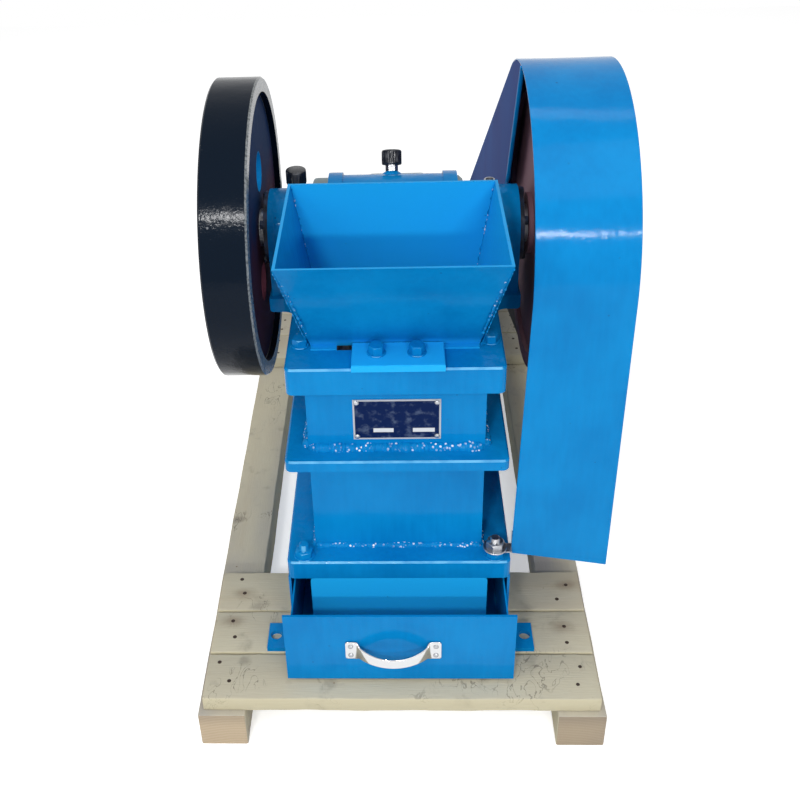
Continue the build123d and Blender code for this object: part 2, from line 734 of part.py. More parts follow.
with BuildPart() as motor:
    with BuildSketch(axle(MOTOR_Y, MOTOR_Z)):
        with BuildLine():
            Polyline(
                (MOTOR_BACK, 0),
                (MOTOR_BACK, MOTOR_SHIELD_RADIUS),
                (MOTOR_BACK + MOTOR_COWL_LENGTH, MOTOR_SHIELD_RADIUS),
                (MOTOR_BACK + MOTOR_COWL_LENGTH, MOTOR_RADIUS),
                (MOTOR_FACE - MOTOR_SHIELD_LENGTH, MOTOR_RADIUS),
                (MOTOR_FACE - MOTOR_SHIELD_LENGTH, MOTOR_SHIELD_RADIUS),
                (MOTOR_FACE, MOTOR_SHIELD_RADIUS - MOTOR_NOSE_LENGTH),
                (MOTOR_FACE, MOTOR_NOSE_RADIUS),
                (MOTOR_FACE + MOTOR_NOSE_LENGTH, MOTOR_NOSE_RADIUS),
                (MOTOR_FACE + MOTOR_NOSE_LENGTH, MOTOR_SHAFT_RADIUS),
                (MOTOR_FACE + MOTOR_SHAFT_LENGTH, MOTOR_SHAFT_RADIUS),
                (MOTOR_FACE + MOTOR_SHAFT_LENGTH, 0),
                close=True,
            )
        make_face()
    revolve(axis=about(MOTOR_Y, MOTOR_Z))
    with BuildSketch(level(MOTOR_FOOT_BOTTOM)):
        with Locations(((MOTOR_FACE + MOTOR_BACK) / 2, MOTOR_Y)):
            Rectangle(MOTOR_FOOT_LENGTH, MOTOR_FOOT_SPAN)
    extrude(amount=MOTOR_FOOT_THICKNESS)
    box_side = TERMINAL_BOX_WIDTH / 2
    box_edge = MOTOR_Z + TERMINAL_BOX_EDGE
    with BuildSketch(front(MOTOR_Y)):
        with BuildLine():
            Polyline(
                (TERMINAL_BOX_X - box_side, box_edge),
                (TERMINAL_BOX_X - box_side, MOTOR_Z),
                (TERMINAL_BOX_X + box_side, MOTOR_Z),
                (TERMINAL_BOX_X + box_side, box_edge),
            )
            ThreePointArc(
                (TERMINAL_BOX_X + box_side, box_edge),
                (TERMINAL_BOX_X, box_edge + TERMINAL_BOX_CROWN),
                (TERMINAL_BOX_X - box_side, box_edge),
            )
        make_face()
    extrude(amount=TERMINAL_BOX_DEPTH / 2, both=True)
save(motor.part, "motor")


# Belt guard: a band with a plate on each side, open underneath
GUARD_OUTSIDE = GUARD_INSIDE + GUARD_WIDTH
GUARD_FRONT = AXIS_Y - GUARD_RADIUS


def guard_edge(inset, corner_z):
    """Front, top and rear of the guard's outline, from its low front corner to its low rear."""
    big = GUARD_RADIUS - inset
    small = GUARD_REAR_RADIUS - inset
    turn, _ = tangent_turn(AXIS_Y, AXIS_Z, big, MOTOR_Y, MOTOR_Z, small)
    corner = (AXIS_Y - big, corner_z)
    low = touch_angle(MOTOR_Y, MOTOR_Z, small, *corner, 1)
    Line(corner, (AXIS_Y - big, AXIS_Z))
    CenterArc((AXIS_Y, AXIS_Z), big, 180, turn - 180)
    Line(on_circle(AXIS_Y, AXIS_Z, big, turn), on_circle(MOTOR_Y, MOTOR_Z, small, turn))
    CenterArc((MOTOR_Y, MOTOR_Z), small, turn, low - 360 - turn)
    return corner, on_circle(MOTOR_Y, MOTOR_Z, small, low)


with BuildPart() as guard_band:
    with BuildSketch(side(GUARD_INSIDE)):
        with BuildLine():
            corner, low_rear = guard_edge(0, GUARD_LOW_CORNER)
            Line(low_rear, corner)
        make_face()
        with BuildLine():
            corner, low_rear = guard_edge(GUARD_SHEET, GUARD_LOW_CORNER)
            Line(low_rear, corner)
        make_face(mode=Mode.SUBTRACT)
        with BuildLine():
            Polyline(corner, (corner[0], 0), (low_rear[0], 0), low_rear, close=True)
        make_face(mode=Mode.SUBTRACT)
    extrude(amount=GUARD_WIDTH)
    with BuildSketch(front(GUARD_FRONT)):
        with BuildLine():
            Polyline(
                (GUARD_INSIDE, AXIS_Z),
                (GUARD_LOW_INSIDE, GUARD_HIGH_CORNER),
                (GUARD_INSIDE, GUARD_LOW_CORNER),
                close=True,
            )
        make_face()
    extrude(amount=-GUARD_SHEET)
    with BuildSketch(front(GUARD_FRONT)):
        with BuildLine():
            Polyline(
                (GUARD_LOW_INSIDE, 0),
                (GUARD_LOW_INSIDE, GUARD_HIGH_CORNER),
                (GUARD_OUTSIDE, GUARD_LOW_CORNER),
                (GUARD_OUTSIDE, 0),
                close=True,
            )
        make_face()
    extrude(amount=-2 * GUARD_SHEET, mode=Mode.SUBTRACT)
save(guard_band.part, "guard_band")

with BuildPart() as guard_outer_plate:
    with BuildSketch(side(GUARD_OUTSIDE)):
        with BuildLine():
            corner, low_rear = guard_edge(GUARD_SHEET, GUARD_LOW_CORNER)
            Line(low_rear, corner)
        make_face()
    extrude(amount=-GUARD_SHEET)
save(guard_outer_plate.part, "guard_outer_plate")

with BuildPart() as guard_inner_plate:
    with BuildSketch(side(GUARD_INSIDE)):
        with BuildLine():
            big = GUARD_RADIUS - GUARD_SHEET
            small = GUARD_REAR_RADIUS - GUARD_SHEET
            turn, _ = tangent_turn(AXIS_Y, AXIS_Z, big, MOTOR_Y, MOTOR_Z, small)
            top_angle = degrees(acos((GUARD_PLATE_TOP_Y - AXIS_Y) / big))
            low = touch_angle(MOTOR_Y, MOTOR_Z, small, GUARD_HOOK_Y, GUARD_HOOK_Z, 1)
            CenterArc((AXIS_Y, AXIS_Z), big, top_angle, turn - top_angle)
            Line(on_circle(AXIS_Y, AXIS_Z, big, turn), on_circle(MOTOR_Y, MOTOR_Z, small, turn))
            CenterArc((MOTOR_Y, MOTOR_Z), small, turn, low - 360 - turn)
            Line(on_circle(MOTOR_Y, MOTOR_Z, small, low), (GUARD_HOOK_Y, GUARD_HOOK_Z))
            Line((GUARD_HOOK_Y, GUARD_HOOK_Z), on_circle(AXIS_Y, AXIS_Z, big, top_angle))
        make_face()
        hook = vertices().sort_by_distance(
            side(GUARD_INSIDE).from_local_coords((GUARD_HOOK_Y, GUARD_HOOK_Z))
        )[0]
        fillet(hook, GUARD_HOOK_RADIUS)
        with Locations((MOTOR_Y, MOTOR_Z)):
            Circle(MOTOR_SHAFT_RADIUS + GUARD_HOLE_GAP, mode=Mode.SUBTRACT)
    extrude(amount=GUARD_SHEET)
save(guard_inner_plate.part, "guard_inner_plate")

# Clip from a stud in the base flange's corner to the guard's front sheet
with BuildPart() as guard_clip:
    clip_back = GUARD_FRONT + GUARD_SHEET + CLIP_THICKNESS
    clip_level = BASE_FLANGE_TOP + CLIP_RISE
    with BuildSketch(level(clip_level)):
        with Locations((CLIP_INSIDE, clip_back)):
            Rectangle(GUARD_LOW_INSIDE - CLIP_INSIDE, CLIP_WIDTH, align=(Align.MIN, Align.MAX))
    extrude(amount=CLIP_THICKNESS)
    with BuildSketch(level(clip_level)):
        with Locations((GUARD_LOW_INSIDE, clip_back)):
            Rectangle(CLIP_TAB_WIDTH, CLIP_THICKNESS, align=(Align.MIN, Align.MAX))
    extrude(amount=CLIP_TAB_HEIGHT)
    with BuildSketch(level(clip_level)):
        with Locations((CLIP_INSIDE + CLIP_WIDTH / 2, clip_back - CLIP_WIDTH / 2)):
            Circle(CLIP_STUD_RADIUS)
    extrude(amount=-CLIP_RISE)
save(guard_clip.part, "guard_clip")

# Stay from the right rail's web up to the guard's inner plate
with BuildPart() as guard_stay:
    stay_end = STAY_Y + STAY_WIDTH
    low = touch_angle(
        MOTOR_Y, MOTOR_Z, GUARD_REAR_RADIUS - GUARD_SHEET, GUARD_HOOK_Y, GUARD_HOOK_Z, 1
    )
    low_y, low_z = on_circle(MOTOR_Y, MOTOR_Z, GUARD_REAR_RADIUS - GUARD_SHEET, low)
    plate_edge = low_z + (low_y - STAY_Y) * (GUARD_HOOK_Z - low_z) / (low_y - GUARD_HOOK_Y)
    with BuildSketch(side(RAIL_OUTSIDE)):
        with Locations(((STAY_Y + stay_end) / 2, RAIL_FLANGE_THICKNESS)):
            Rectangle(
                STAY_WIDTH,
                plate_edge + STAY_OVERLAP - RAIL_FLANGE_THICKNESS,
                align=(Align.CENTER, Align.MIN),
            )
    extrude(amount=GUARD_INSIDE - RAIL_OUTSIDE)
save(guard_stay.part, "guard_stay")


# Hopper: four flared sheets welded into one shell, with a lip over the chamber beside the clamp
with BuildPart() as hopper:
    for sheet, mode in ((0, Mode.ADD), (HOPPER_SHEET, Mode.SUBTRACT)):
        for height, width, start, end in (
            (TOP_FLANGE_TOP, THROAT_WIDTH, THROAT_FRONT, THROAT_BACK),
            (RIM_Z, RIM_WIDTH, RIM_FRONT, RIM_BACK),
        ):
            with BuildSketch(level(height)):
                with Locations((0, (start + end) / 2)):
                    Rectangle(width - 2 * sheet, end - start - 2 * sheet)
        loft(mode=mode)
    lip_depth = THROAT_FRONT + HOPPER_SHEET / 2 - CHAMBER_FRONT
    for start, end in ((-THROAT_WIDTH / 2, LIP_LEFT_END), (CLAMP_RIGHT, THROAT_WIDTH / 2)):
        with BuildSketch(level(TOP_FLANGE_TOP)):
            with Locations((start, CHAMBER_FRONT)):
                Rectangle(end - start, lip_depth, align=Align.MIN)
        extrude(amount=LIP_THICKNESS)
save(hopper.part, "hopper")

with BuildPart() as clamp:
    with BuildSketch(level(TOP_FLANGE_TOP)):
        with Locations((CLAMP_LEFT, CLAMP_FRONT)):
            Rectangle(CLAMP_RIGHT - CLAMP_LEFT, CLAMP_BACK - CLAMP_FRONT, align=Align.MIN)
    extrude(amount=CLAMP_THICKNESS)
    chamfer(faces().sort_by(Axis.Z)[-1].edges(), FLANGE_EDGE / 2)
save(clamp.part, "hopper_clamp")


# Oil cups on the bearings and on the swing jaw's barrel; the right one has lost its cap
for name, x, base, lean, cap in (
    ("left", -SIDE_CUP_X, SEAT_RADIUS, 0, CUP_CAP_HEIGHT),
    ("centre", CENTRE_CUP_X, BARREL_RADIUS, CENTRE_CUP_LEAN, CUP_CAP_HEIGHT),
    ("right", SIDE_CUP_X, SEAT_RADIUS, 0, 0),
):
    with BuildPart() as cup:
        with BuildSketch(spoke(x, base, lean)):
            Circle(CUP_NECK_RADIUS)
        extrude(amount=CUP_NECK_HEIGHT)
        if cap:
            with BuildSketch(spoke(x, base + CUP_NECK_HEIGHT, lean)):
                Circle(CUP_RADIUS)
            extrude(amount=cap)
            fillet(edges().sort_by(Axis.Z)[-1], FLANGE_EDGE)
    save(cup.part, f"oil_cup_{name}")

with BuildPart() as nameplate:
    with BuildSketch(front(WALL_FRONT)):
        with Locations((PLATE_LEFT, PLATE_BOTTOM)):
            Rectangle(PLATE_RIGHT - PLATE_LEFT, PLATE_TOP - PLATE_BOTTOM, align=Align.MIN)
    extrude(amount=PLATE_THICKNESS)
save(nameplate.part, "nameplate")


# Drawer: a tray with high sides and a low back, its front sheet and a bow handle
TRAY_BOTTOM = RAIL_FLANGE_THICKNESS + DRAWER_RUNNER_GAP
TRAY_WIDTH = BASE_FLANGE_WIDTH - 2 * (RAIL_WEB + DRAWER_SIDE_GAP)
TRAY_BACK = TRAY_LENGTH - DRAWER_OPEN

with BuildPart() as drawer_tray:
    with BuildSketch(level(TRAY_BOTTOM)):
        with Locations((0, -DRAWER_OPEN)):
            Rectangle(TRAY_WIDTH, TRAY_LENGTH, align=(Align.CENTER, Align.MIN))
    extrude(amount=TRAY_SIDE_TOP - TRAY_BOTTOM)
    with BuildSketch(level(TRAY_BOTTOM + TRAY_SHEET)):
        with Locations((0, -DRAWER_OPEN)):
            Rectangle(
                TRAY_WIDTH - 2 * TRAY_SHEET,
                TRAY_LENGTH - TRAY_SHEET,
                align=(Align.CENTER, Align.MIN),
            )
    extrude(amount=TRAY_SIDE_TOP, mode=Mode.SUBTRACT)
    with BuildSketch(level(TRAY_BACK_TOP)):
        with Locations((0, TRAY_BACK)):
            Rectangle(TRAY_WIDTH, TRAY_SHEET, align=(Align.CENTER, Align.MAX))
    extrude(amount=TRAY_SIDE_TOP, mode=Mode.SUBTRACT)
save(drawer_tray.part, "drawer_tray")

with BuildPart() as drawer_front:
    with BuildSketch(front(-DRAWER_OPEN)):
        with Locations((0, DRAWER_FRONT_BOTTOM)):
            Rectangle(
                DRAWER_FRONT_WIDTH,
                DRAWER_FRONT_TOP - DRAWER_FRONT_BOTTOM,
                align=(Align.CENTER, Align.MIN),
            )
    extrude(amount=DRAWER_FRONT_SHEET)
save(drawer_front.part, "drawer_front")

# Handle: two riveted feet and a bow that narrows towards its middle
handle_plane_y = -DRAWER_OPEN - DRAWER_FRONT_SHEET
handle_middle = (HANDLE_LEFT + HANDLE_RIGHT) / 2
handle_z = (HANDLE_BOTTOM + HANDLE_TOP) / 2
bow_half = (HANDLE_RIGHT - HANDLE_LEFT) / 2 - HANDLE_FOOT_WIDTH


def bow(reach, half):
    """Arc of the handle seen from above, from foot to foot."""
    ThreePointArc(
        (handle_middle - half, handle_plane_y),
        (handle_middle, handle_plane_y - reach),
        (handle_middle + half, handle_plane_y),
    )


with BuildPart() as handle:
    with BuildSketch(level(handle_z)):
        with BuildLine():
            bow(HANDLE_REACH, bow_half + HANDLE_STRAP)
            Line(
                (handle_middle - bow_half - HANDLE_STRAP, handle_plane_y),
                (handle_middle + bow_half + HANDLE_STRAP, handle_plane_y),
            )
        make_face()
        with BuildLine():
            bow(HANDLE_REACH - HANDLE_STRAP, bow_half)
            Line(
                (handle_middle - bow_half, handle_plane_y), (handle_middle + bow_half, handle_plane_y)
            )
        make_face(mode=Mode.SUBTRACT)
    extrude(amount=HANDLE_END_HEIGHT / 2, both=True)
    with BuildSketch(front(handle_plane_y)):
        for up in (-1, 1):
            with BuildLine():
                end_z = handle_z + up * HANDLE_END_HEIGHT / 2
                middle_z = handle_z + up * HANDLE_MIDDLE_HEIGHT / 2
                ThreePointArc(
                    (handle_middle - bow_half, end_z),
                    (handle_middle, middle_z),
                    (handle_middle + bow_half, end_z),
                )
                Line((handle_middle - bow_half, end_z), (handle_middle + bow_half, end_z))
            make_face()
    extrude(amount=HANDLE_REACH, mode=Mode.SUBTRACT)
    with BuildSketch(front(handle_plane_y)):
        with Locations((HANDLE_LEFT, HANDLE_BOTTOM)):
            Rectangle(HANDLE_FOOT_WIDTH, HANDLE_TOP - HANDLE_BOTTOM, align=Align.MIN)
        with Locations((HANDLE_RIGHT, HANDLE_BOTTOM)):
            Rectangle(
                HANDLE_FOOT_WIDTH, HANDLE_TOP - HANDLE_BOTTOM, align=(Align.MAX, Align.MIN)
            )
    extrude(amount=HANDLE_STRAP)
save(handle.part, "drawer_handle")
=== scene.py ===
"""Laboratory jaw crusher: paint, wood and metal finishes, boards, bolts, welds and small fittings
for its packed model, with a plain studio. Metres, +Z up; the machine faces -Y.
"""

from math import hypot, pi, radians

import bmesh
import bpy
import numpy as np
from bpy.props import FloatProperty, FloatVectorProperty, IntProperty, PointerProperty
from mathutils import Matrix, Vector


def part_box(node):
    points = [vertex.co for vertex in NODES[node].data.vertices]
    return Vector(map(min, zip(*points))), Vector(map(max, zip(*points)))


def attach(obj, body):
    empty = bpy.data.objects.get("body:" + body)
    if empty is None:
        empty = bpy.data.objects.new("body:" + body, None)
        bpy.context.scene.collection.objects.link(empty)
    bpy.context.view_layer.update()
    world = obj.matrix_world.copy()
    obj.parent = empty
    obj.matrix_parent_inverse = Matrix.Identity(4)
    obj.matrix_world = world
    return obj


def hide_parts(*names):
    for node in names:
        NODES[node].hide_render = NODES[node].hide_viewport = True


bl_info = {
    "name": "Laboratory jaw crusher",
    "version": (1, 0, 0),
    "blender": (4, 5, 0),
    "location": "3D View > Sidebar > Crusher",
    "description": "Finishes and small pieces of a laboratory jaw crusher on its pallet",
    "category": "Object",
}

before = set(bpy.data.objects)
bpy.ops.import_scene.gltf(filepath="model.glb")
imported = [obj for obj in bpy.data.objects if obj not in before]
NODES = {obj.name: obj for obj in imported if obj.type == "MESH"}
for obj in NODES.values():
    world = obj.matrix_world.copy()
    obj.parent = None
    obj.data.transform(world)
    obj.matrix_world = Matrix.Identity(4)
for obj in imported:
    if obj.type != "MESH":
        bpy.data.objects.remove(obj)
SIDES = (("left", -1), ("right", 1))
# The flywheel's two opposite holes: circle of their middles, turn of the first, radius
HOLE_CIRCLE, HOLE_TURN, HOLE_RADIUS = 0.066, radians(72), 0.0225


def low(node):
    return np.array(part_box(node)[0])


def high(node):
    return np.array(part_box(node)[1])


def corners(node):
    """A node's vertices as rows of X, Y and Z."""
    vertices = NODES[node].data.vertices
    flat = np.empty(len(vertices) * 3)
    vertices.foreach_get("co", flat)
    return flat.reshape(-1, 3)


BODY_FRONT = low("base_flange")[1]
DECK_TOP = high("pallet_front_deck")[2]
AXLE_Y, AXLE_Z = ((low("drive_pulley") + high("drive_pulley")) / 2)[1:]


def at(x, y, z):
    """Point from X, the distance behind the base flange's front and the height over the deck."""
    return np.array([x, BODY_FRONT + y, DECK_TOP + z])


def tint(red, green, blue):
    """Linear colour from a screen colour of three whole numbers up to 255."""
    screen = np.array([red, green, blue]) / 255
    return tuple(np.where(screen > 0.04045, ((screen + 0.055) / 1.055) ** 2.4, screen / 12.92))


# Shader maths


def sums(operation, swapped=False):
    """A Python operator that adds a Math node."""

    def act(self, other):
        numbers = (other, self) if swapped else (self, other)
        return self.nodes.node("ShaderNodeMath", {"operation": operation}, dict(enumerate(numbers)))

    return act


class Value:
    """A socket of a node tree, so that sums on it are written as Python and add their nodes."""

    def __init__(self, nodes, socket):
        self.nodes = nodes
        self.socket = socket

    __add__, __radd__ = sums("ADD"), sums("ADD", True)
    __sub__, __rsub__ = sums("SUBTRACT"), sums("SUBTRACT", True)
    __mul__, __rmul__ = sums("MULTIPLY"), sums("MULTIPLY", True)
    __pow__ = sums("POWER")

    def __abs__(self):
        return self.nodes.node("ShaderNodeMath", {"operation": "ABSOLUTE"}, {0: self})

    def above(self, edge, softness):
        """0 below edge and 1 above it, eased over softness to both sides."""
        return self.nodes.node(
            "ShaderNodeMapRange",
            {"interpolation_type": "SMOOTHSTEP"},
            {"Value": self, "From Min": edge - softness, "From Max": edge + softness},
        )


class Nodes:
    """The node tree of a material or a world, emptied first."""

    def __init__(self, owner):
        owner.use_nodes = True
        self.owner, self.tree = owner, owner.node_tree
        self.tree.nodes.clear()

    def node(self, kind, settings, sockets, output=0):
        """Adds a node: its settings first, then its sockets by name or number; gives one output."""
        node = self.tree.nodes.new(kind)
        for name, setting in settings.items():
            setattr(node, name, setting)
        for name, value in sockets.items():
            socket = node.inputs[name]
            if isinstance(value, Value):
                self.tree.links.new(value.socket, socket)
            elif socket.type == "RGBA":
                socket.default_value = (*value, 1)
            else:
                socket.default_value = value
        return Value(self, node.outputs[output]) if node.outputs else None

    def seen(self):
        """1 to the camera, to mirrors and through glass, and 0 where it only gives light."""
        rays = 0
        for name in ("Is Camera Ray", "Is Glossy Ray", "Is Transmission Ray"):
            rays = self.node("ShaderNodeLightPath", {}, {}, name) + rays
        return rays.above(0.5, 0.01)


class Finish(Nodes):
    """One procedural material on Object coordinates."""

    def __init__(self, name):
        super().__init__(bpy.data.materials.new(name))
        self.place = self.node("ShaderNodeTexCoord", {}, {}, "Object")
        self.facing = self.node("ShaderNodeTexCoord", {}, {}, "Normal")

    def axis(self, number, vector=None):
        """X, Y or Z of a vector, which is the Object place unless it is given."""
        return self.node("ShaderNodeSeparateXYZ", {}, {0: vector or self.place}, number)

    def vector(self, operation, first, second, output=0):
        """Sum on vectors; LENGTH takes the first one only and has output 1."""
        settings = {"operation": operation}
        return self.node("ShaderNodeVectorMath", settings, {0: first, 1: second}, output)

    def away(self, point, stretch=(1, 1, 1)):
        """Distance of the Object place from a point, each axis times stretch."""
        apart = self.vector("SUBTRACT", self.place, tuple(point))
        return self.vector("LENGTH", self.vector("MULTIPLY", apart, stretch), (0, 0, 0), 1)

    def noise(self, size, detail=2.0, stretch=(1, 1, 1), warp=0.0):
        """Noise from 0 to 1 with spots about size metres across, longer where stretch < 1."""
        place = self.vector("MULTIPLY", self.place, stretch)
        sockets = {"Vector": place, "Scale": 1 / size, "Detail": detail, "Distortion": warp}
        return self.node("ShaderNodeTexNoise", {}, sockets)

    def cells(self, size, stretch=(1, 1, 1)):
        """Distance to the nearest of points scattered about size metres apart, in such sizes."""
        place = self.vector("MULTIPLY", self.place, stretch)
        return self.node("ShaderNodeTexVoronoi", {}, {"Vector": place, "Scale": 1 / size})

    def wave(self, angle):
        """Sine of an angle, from 0 to 1."""
        return self.node("ShaderNodeMath", {"operation": "SINE"}, {0: angle}) * 0.5 + 0.5

    def mix(self, factor, first, second):
        """Colour from first to second as factor goes from 0 to 1."""
        sockets = {0: factor, 6: first, 7: second}
        return self.node("ShaderNodeMix", {"data_type": "RGBA"}, sockets, 2)

    def bump(self, height, depth=1):
        """Normal from a height whose step of 1 stands for depth metres."""
        return self.node("ShaderNodeBump", {}, {"Height": height, "Distance": depth})

    def done(self, colour, roughness, **more):
        """Joins the Principled shader; names in more are its other sockets, with _ for a space."""
        sockets = {"Base Color": colour, "Roughness": roughness}
        sockets.update({name.replace("_", " "): value for name, value in more.items()})
        shader = self.node("ShaderNodeBsdfPrincipled", {}, sockets)
        self.node("ShaderNodeOutputMaterial", {}, {"Surface": shader})
        return self.owner


# Sizes and colours that a user would change


def colour(name, description, red, green, blue):
    return FloatVectorProperty(
        name=name, description=description, subtype="COLOR", size=3, min=0, max=1,
        default=tint(red, green, blue),
    )


def size(name, description, default):
    return FloatProperty(
        name=name, description=description, default=default, min=0, unit="LENGTH", precision=4
    )


def share(name, description, default):
    return FloatProperty(
        name=name, description=description, default=default, min=0, max=1, subtype="FACTOR"
    )


class PaintSettings(bpy.types.PropertyGroup):
    """Colours and gloss of the painted metal."""

    blue: colour("Blue", "Enamel of the frame, guard and drawer", 8, 132, 198)
    # Painted light: a paler blue that stands in for light on the hopper's inside and on the apron
    # and the hopper clamp, which stand in shadow
    fresh: colour("Lit blue", "Enamel inside the hopper and on pieces in shadow", 32, 174, 240)
    thin_blue: colour("Thin blue", "Enamel where the brush left it thin", 4, 116, 182)
    # Painted highlight: a pale blue laid on the flanges' front-up edges in place of a lamp's
    # reflection
    edge: colour("Edge", "Enamel on the flanges' upper edges", 112, 188, 228)
    # Partly the plate's own colour, partly painted light: this blue is lifted paler against the
    # guard's shade
    guard_inside: colour("Guard inside", "Thin coat on the guard's inner plate", 92, 114, 170)
    black: colour("Black", "Enamel of the flywheel's rim", 5, 18, 32)
    navy: colour("Navy", "Overspray inside the flywheel and the pulley", 24, 62, 112)
    primer: colour("Primer", "Red brown primer on the castings", 98, 52, 66)
    motor: colour("Motor", "Machine paint of the motor", 58, 92, 106)
    gloss: share("Roughness", "Roughness of fresh enamel", 0.1)


class WoodSettings(bpy.types.PropertyGroup):
    """Colours of the pallet's wood."""

    pale: colour("Pale", "Clean softwood", 198, 192, 169)
    cream: colour("Cream", "Lit saw cuts along the deck's edge", 193, 185, 154)
    tan: colour("Tan", "Late rings and knots' surroundings", 172, 152, 120)
    knot: colour("Knot", "Knots and nail stains", 104, 76, 54)
    weathered: colour("Weathered", "Grey of the stringers", 158, 154, 152)
    # Also painted shade: the end grain darkens with it under the deck and on the right stringer
    dirt: colour("Dirt", "Scuffs and grime", 96, 88, 80)
    end: colour("End grain", "Sawn ends of the beams", 192, 172, 146)


class MetalSettings(bpy.types.PropertyGroup):
    """Colours of bare metal, plastic and rubber."""

    nickel: colour("Nickel", "Plate of the handle", 126, 122, 124)
    steel: colour("Steel", "Zinc plated nuts and turned shafts", 176, 178, 182)
    iron: colour("Iron", "Manganese jaw plates and toggle", 92, 92, 96)
    nail: colour("Nail", "Rusted nail heads", 74, 54, 42)
    print_blue: colour("Plate blue", "Printed field of the nameplate", 5, 28, 72)
    plastic: colour("Plastic", "Oil cup caps", 22, 26, 34)
    rubber: colour("Rubber", "Drive belts", 30, 31, 34)


# Finishes


def enamel(name, paint, lump, lump_depth, peel_depth, glint_share=0.0, fresh=None, edges=False):
    """Brushed enamel over metal: slow lumps, upright brush marks and an orange peel skin. Where the
    glint share is over 0, painted glints: white specks scattered in the colour. A share function
    mixes in a paler blue as painted light, and with edges the flanges' front-up edges get a painted
    highlight."""
    coat = Finish(name)
    thick = coat.noise(0.07, 3)
    strokes = coat.noise(0.006, 3, stretch=(1, 1, 0.14))
    patches = (0.7 * thick + 0.3 * strokes).above(0.5, 0.25)
    blue = coat.mix(patches, paint.thin_blue, paint.blue)
    # Painted light: a paler blue mixed in by the given share, for faces that stand in shade
    if fresh:
        blue = coat.mix(fresh(coat), blue, paint.fresh)
    crumbs = 1 - coat.cells(0.013).above(0.09, 0.03)
    sparse = coat.noise(0.05, 1).above(0.64, 0.05)
    blue = coat.mix(crumbs * sparse * 0.6, blue, paint.navy)
    # Painted highlight: pale blue on the flanges' edges that face front and up, in patches
    if edges:
        tilt = 0.7 * coat.axis(2, coat.facing) - 0.7 * coat.axis(1, coat.facing)
        flange = 1 - coat.axis(2).above(AXLE_Z - 0.05, 0.002)
        highlight_patches = coat.noise(0.02, 3).above(0.42, 0.2)
        blue = coat.mix(tilt.above(0.94, 0.03) * flange * (0.35 + 0.5 * highlight_patches), blue, paint.edge)
    # Painted glints: white specks in the colour of the weld
    if glint_share:
        painted_glints = 1 - coat.cells(0.0042).above(0.3, 0.08)
        blue = coat.mix(painted_glints * coat.noise(0.02, 2).above(0.5, 0.12) * glint_share, blue, (1, 1, 1))
    peel = coat.noise(0.0045, 1)
    height = coat.noise(lump, 2) * lump_depth + peel * peel_depth + strokes * (0.35 * lump_depth)
    roughness = paint.gloss - 0.03 + 0.06 * coat.noise(0.03, 2)
    return coat.done(blue, roughness, Normal=coat.bump(height), Specular_IOR_Level=0.07)


def cast_enamel(scene):
    return enamel("cast_enamel", scene.crusher_paint, 0.02, 0.0011, 0.00012, edges=True)


def thin_enamel(name, scene, fresh=None):
    """Enamel on sheet metal, with slow shallow lumps."""
    return enamel(name, scene.crusher_paint, 0.06, 0.0004, 0.00007, fresh=fresh)


def sheet_enamel(scene):
    return thin_enamel("sheet_enamel", scene)


def hopper_enamel(scene):
    """Sheet enamel with a paler blue painted in as light on the sides that face the hopper's
    middle.
    """
    middle = (low("hopper")[1] + high("hopper")[1]) / 2

    def inward(coat):
        outward = coat.axis(0) * coat.axis(0, coat.facing)
        outward = outward + (coat.axis(1) - middle) * coat.axis(1, coat.facing)
        # Painted shade: the inside wall that faces +X gets none of the paler blue
        shaded = coat.axis(0, coat.facing).above(0.5, 0.1)
        return (1 - outward.above(0, 0.004)) * (0.85 - 1.2 * shaded)

    return thin_enamel("hopper_enamel", scene, inward)


def fresh_enamel(scene):
    """Sheet enamel with the paler blue all over: painted light on the pieces that stand in shadow.
    """
    return thin_enamel("fresh_enamel", scene, lambda coat: 0.9)


def weld_enamel(scene):
    # The welds carry painted glints
    return enamel("weld_enamel", scene.crusher_paint, 0.006, 0.0016, 0.0003, 0.9)


def guard_inside_enamel(scene):
    """Smooth thin blue over primer, paler as painted light for the guard's shade, a little redder
    in slow patches.
    """
    paint = scene.crusher_paint
    coat = Finish("guard_inside_enamel")
    slow = coat.noise(0.12, 2, stretch=(1, 1, 0.5)).above(0.5, 0.3)
    mixed = coat.mix(slow * 0.2, paint.guard_inside, paint.primer)
    height = coat.noise(0.006, 2)
    return coat.done(mixed, 0.5, Normal=coat.bump(height, 0.00008), Specular_IOR_Level=0.0)


